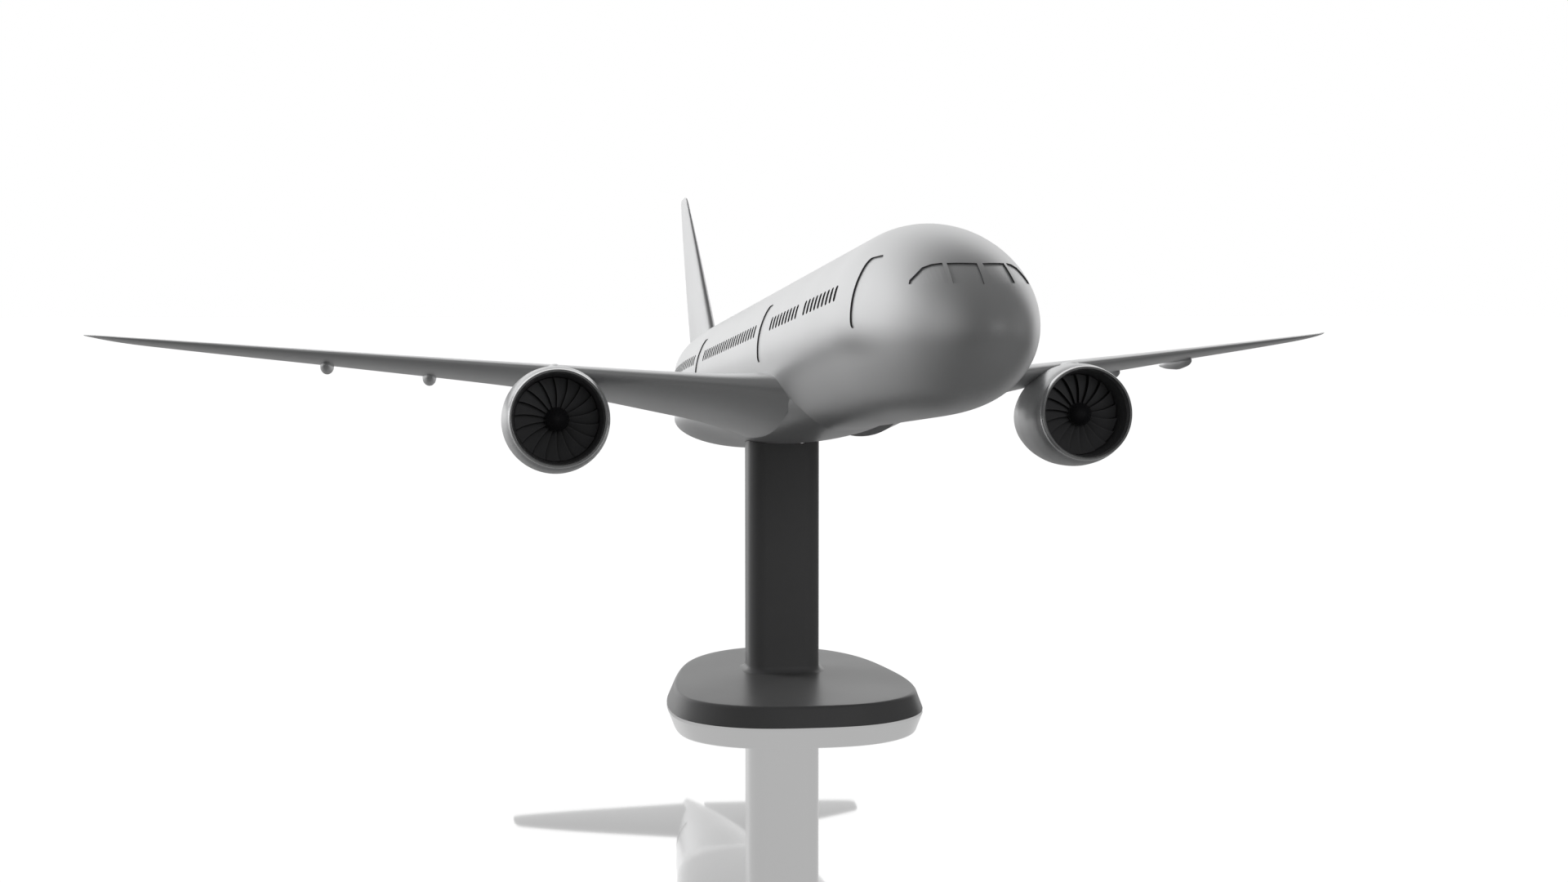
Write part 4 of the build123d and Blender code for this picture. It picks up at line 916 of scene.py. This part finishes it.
def studio_world():
    """White seen directly; the model is lit from the back and the sides by broad soft lights."""
    world = bpy.data.worlds.new("studio")
    bpy.context.scene.world = world
    world.use_nodes = True
    nodes, links = world.node_tree.nodes, world.node_tree.links
    where = nodes.new("ShaderNodeTexCoord")

    def sum_node(operation, first, second, third=None):
        """Output of a Math node fed with numbers or sockets."""
        node = nodes.new("ShaderNodeMath")
        node.operation = operation
        for socket, value in zip(node.inputs, (first, second, third)):
            if isinstance(value, (int, float)):
                socket.default_value = value
            elif value is not None:
                links.new(value, socket)
        return node.outputs[0]

    middle = nodes.new("ShaderNodeVectorMath")
    middle.operation = "DOT_PRODUCT"
    middle.inputs[1].default_value = Vector(BACKDROP).normalized()
    links.new(where.outputs["Generated"], middle.inputs[0])
    edge = nodes.new("ShaderNodeMapRange")
    edge.interpolation_type = "SMOOTHSTEP"
    set_range(edge, BACKDROP_EDGE, (0, 1))
    links.new(middle.outputs["Value"], edge.inputs["Value"])
    split, fade = nodes.new("ShaderNodeSeparateXYZ"), nodes.new("ShaderNodeMapRange")
    links.new(where.outputs["Generated"], split.inputs[0])
    fade.interpolation_type = "SMOOTHSTEP"
    set_range(fade, BACKDROP_TOP[::-1], (0, 1))
    links.new(split.outputs["Z"], fade.inputs["Value"])
    total = sum_node("MULTIPLY_ADD", edge.outputs["Result"], fade.outputs["Result"], AMBIENT)
    for name, direction, narrow, strength in SOFT_LIGHTS:
        toward = nodes.new("ShaderNodeVectorMath")
        toward.operation = "DOT_PRODUCT"
        toward.label = name
        toward.inputs[1].default_value = Vector(direction).normalized()
        links.new(where.outputs["Generated"], toward.inputs[0])
        fall = sum_node("MULTIPLY_ADD", toward.outputs["Value"], narrow, -narrow)
        total = sum_node("MULTIPLY_ADD", sum_node("EXPONENT", fall, None), strength, total)
    path = nodes.new("ShaderNodeLightPath")
    mix = nodes.new("ShaderNodeMix")
    mix.inputs[3].default_value = 1.0
    links.new(path.outputs["Is Camera Ray"], mix.inputs[0])
    links.new(total, mix.inputs[2])
    links.new(mix.outputs[0], nodes["Background"].inputs["Strength"])
    nodes["Background"].inputs["Color"].default_value = (1, 1, 1, 1)


def glossy_floor():
    """Polished white table top, evenly white to the camera apart from its reflections."""
    material = bpy.data.materials.new("table_white")
    material.use_nodes = True
    nodes, links = material.node_tree.nodes, material.node_tree.links
    nodes.remove(nodes["Principled BSDF"])
    matt, mirror = nodes.new("ShaderNodeBsdfDiffuse"), nodes.new("ShaderNodeBsdfGlossy")
    matt.inputs["Color"].default_value = (FLOOR_GREY, FLOOR_GREY, FLOOR_GREY, 1)
    mirror.inputs["Color"].default_value = (1, 1, 1, 1)
    mirror.inputs["Roughness"].default_value = FLOOR_ROUGHNESS
    glow, path = nodes.new("ShaderNodeEmission"), nodes.new("ShaderNodeLightPath")
    lens, level_glow = nodes.new("ShaderNodeNewGeometry"), nodes.new("ShaderNodeMapRange")
    lens_axes = nodes.new("ShaderNodeSeparateXYZ")
    links.new(lens.outputs["Incoming"], lens_axes.inputs[0])
    links.new(lens_axes.outputs["Y"], level_glow.inputs["Value"])
    set_range(level_glow, FLOOR_TURN, FLOOR_WHITE)
    links.new(level_glow.outputs["Result"], glow.inputs["Strength"])
    where, away = nodes.new("ShaderNodeNewGeometry"), nodes.new("ShaderNodeVectorMath")
    away.operation = "LENGTH"
    links.new(where.outputs["Position"], away.inputs[0])
    # Painted pool of light on the table under the model: a glow that all rays but camera rays see.
    pool = nodes.new("ShaderNodeMapRange")
    pool.interpolation_type = "SMOOTHSTEP"
    set_range(pool, POOL_REACH, (PAINTED_POOL_GLOW, 0.0))
    links.new(away.outputs["Value"], pool.inputs["Value"])
    painted_glow, table = nodes.new("ShaderNodeEmission"), nodes.new("ShaderNodeAddShader")
    links.new(pool.outputs["Result"], painted_glow.inputs["Strength"])
    links.new(matt.outputs[0], table.inputs[0])
    links.new(painted_glow.outputs[0], table.inputs[1])
    seen = nodes.new("ShaderNodeMixShader")
    links.new(path.outputs["Is Camera Ray"], seen.inputs[0])
    links.new(table.outputs[0], seen.inputs[1])
    links.new(glow.outputs[0], seen.inputs[2])
    facing, mix = nodes.new("ShaderNodeFresnel"), nodes.new("ShaderNodeMixShader")
    facing.inputs["IOR"].default_value = FLOOR_IOR
    share = nodes.new("ShaderNodeMix")
    share.inputs[3].default_value = FLOOR_MIRROR
    links.new(path.outputs["Is Camera Ray"], share.inputs[0])
    links.new(facing.outputs[0], share.inputs[2])
    links.new(share.outputs[0], mix.inputs[0])
    links.new(seen.outputs[0], mix.inputs[1])
    links.new(mirror.outputs[0], mix.inputs[2])
    clear, one_sided = nodes.new("ShaderNodeBsdfTransparent"), nodes.new("ShaderNodeMixShader")
    links.new(lens.outputs["Backfacing"], one_sided.inputs[0])
    links.new(mix.outputs[0], one_sided.inputs[1])
    links.new(clear.outputs[0], one_sided.inputs[2])
    links.new(one_sided.outputs[0], nodes["Material Output"].inputs["Surface"])
    corners = [(x * FLOOR_REACH, y * FLOOR_REACH, 0) for x, y in ((-1, -1), (1, -1), (1, 1), (-1, 1))]
    new_mesh("table", corners, [(0, 1, 2, 3)], [material])


def soft_box(name, place, power):
    """A square soft box aimed at the model, lighting its colour but not seen in its polish."""
    light = bpy.data.lights.new(name, "AREA")
    light.size = SOFT_BOX_SIZE
    light.energy = power
    ob = bpy.data.objects.new(name, light)
    bpy.context.scene.collection.objects.link(ob)
    ob.location = place
    ob.rotation_euler = (-ob.location).to_track_quat("-Z", "Y").to_euler()
    ob.visible_glossy = False


studio_world()
glossy_floor()
for name, place, power in SOFT_BOXES:
    soft_box(name, place, power)

camera = bpy.data.objects.new("camera", bpy.data.cameras.new("camera"))
bpy.context.scene.collection.objects.link(camera)
camera.data.lens = CAMERA_LENS
camera.data.sensor_width = 36.0
camera.location = CAMERA_PLACE
camera.rotation_euler = Vector(CAMERA_AIM).to_track_quat("-Z", "Y").to_euler()
camera.data.clip_start = 0.01
bpy.context.scene.camera = camera
bpy.context.scene.view_settings.view_transform = "Standard"
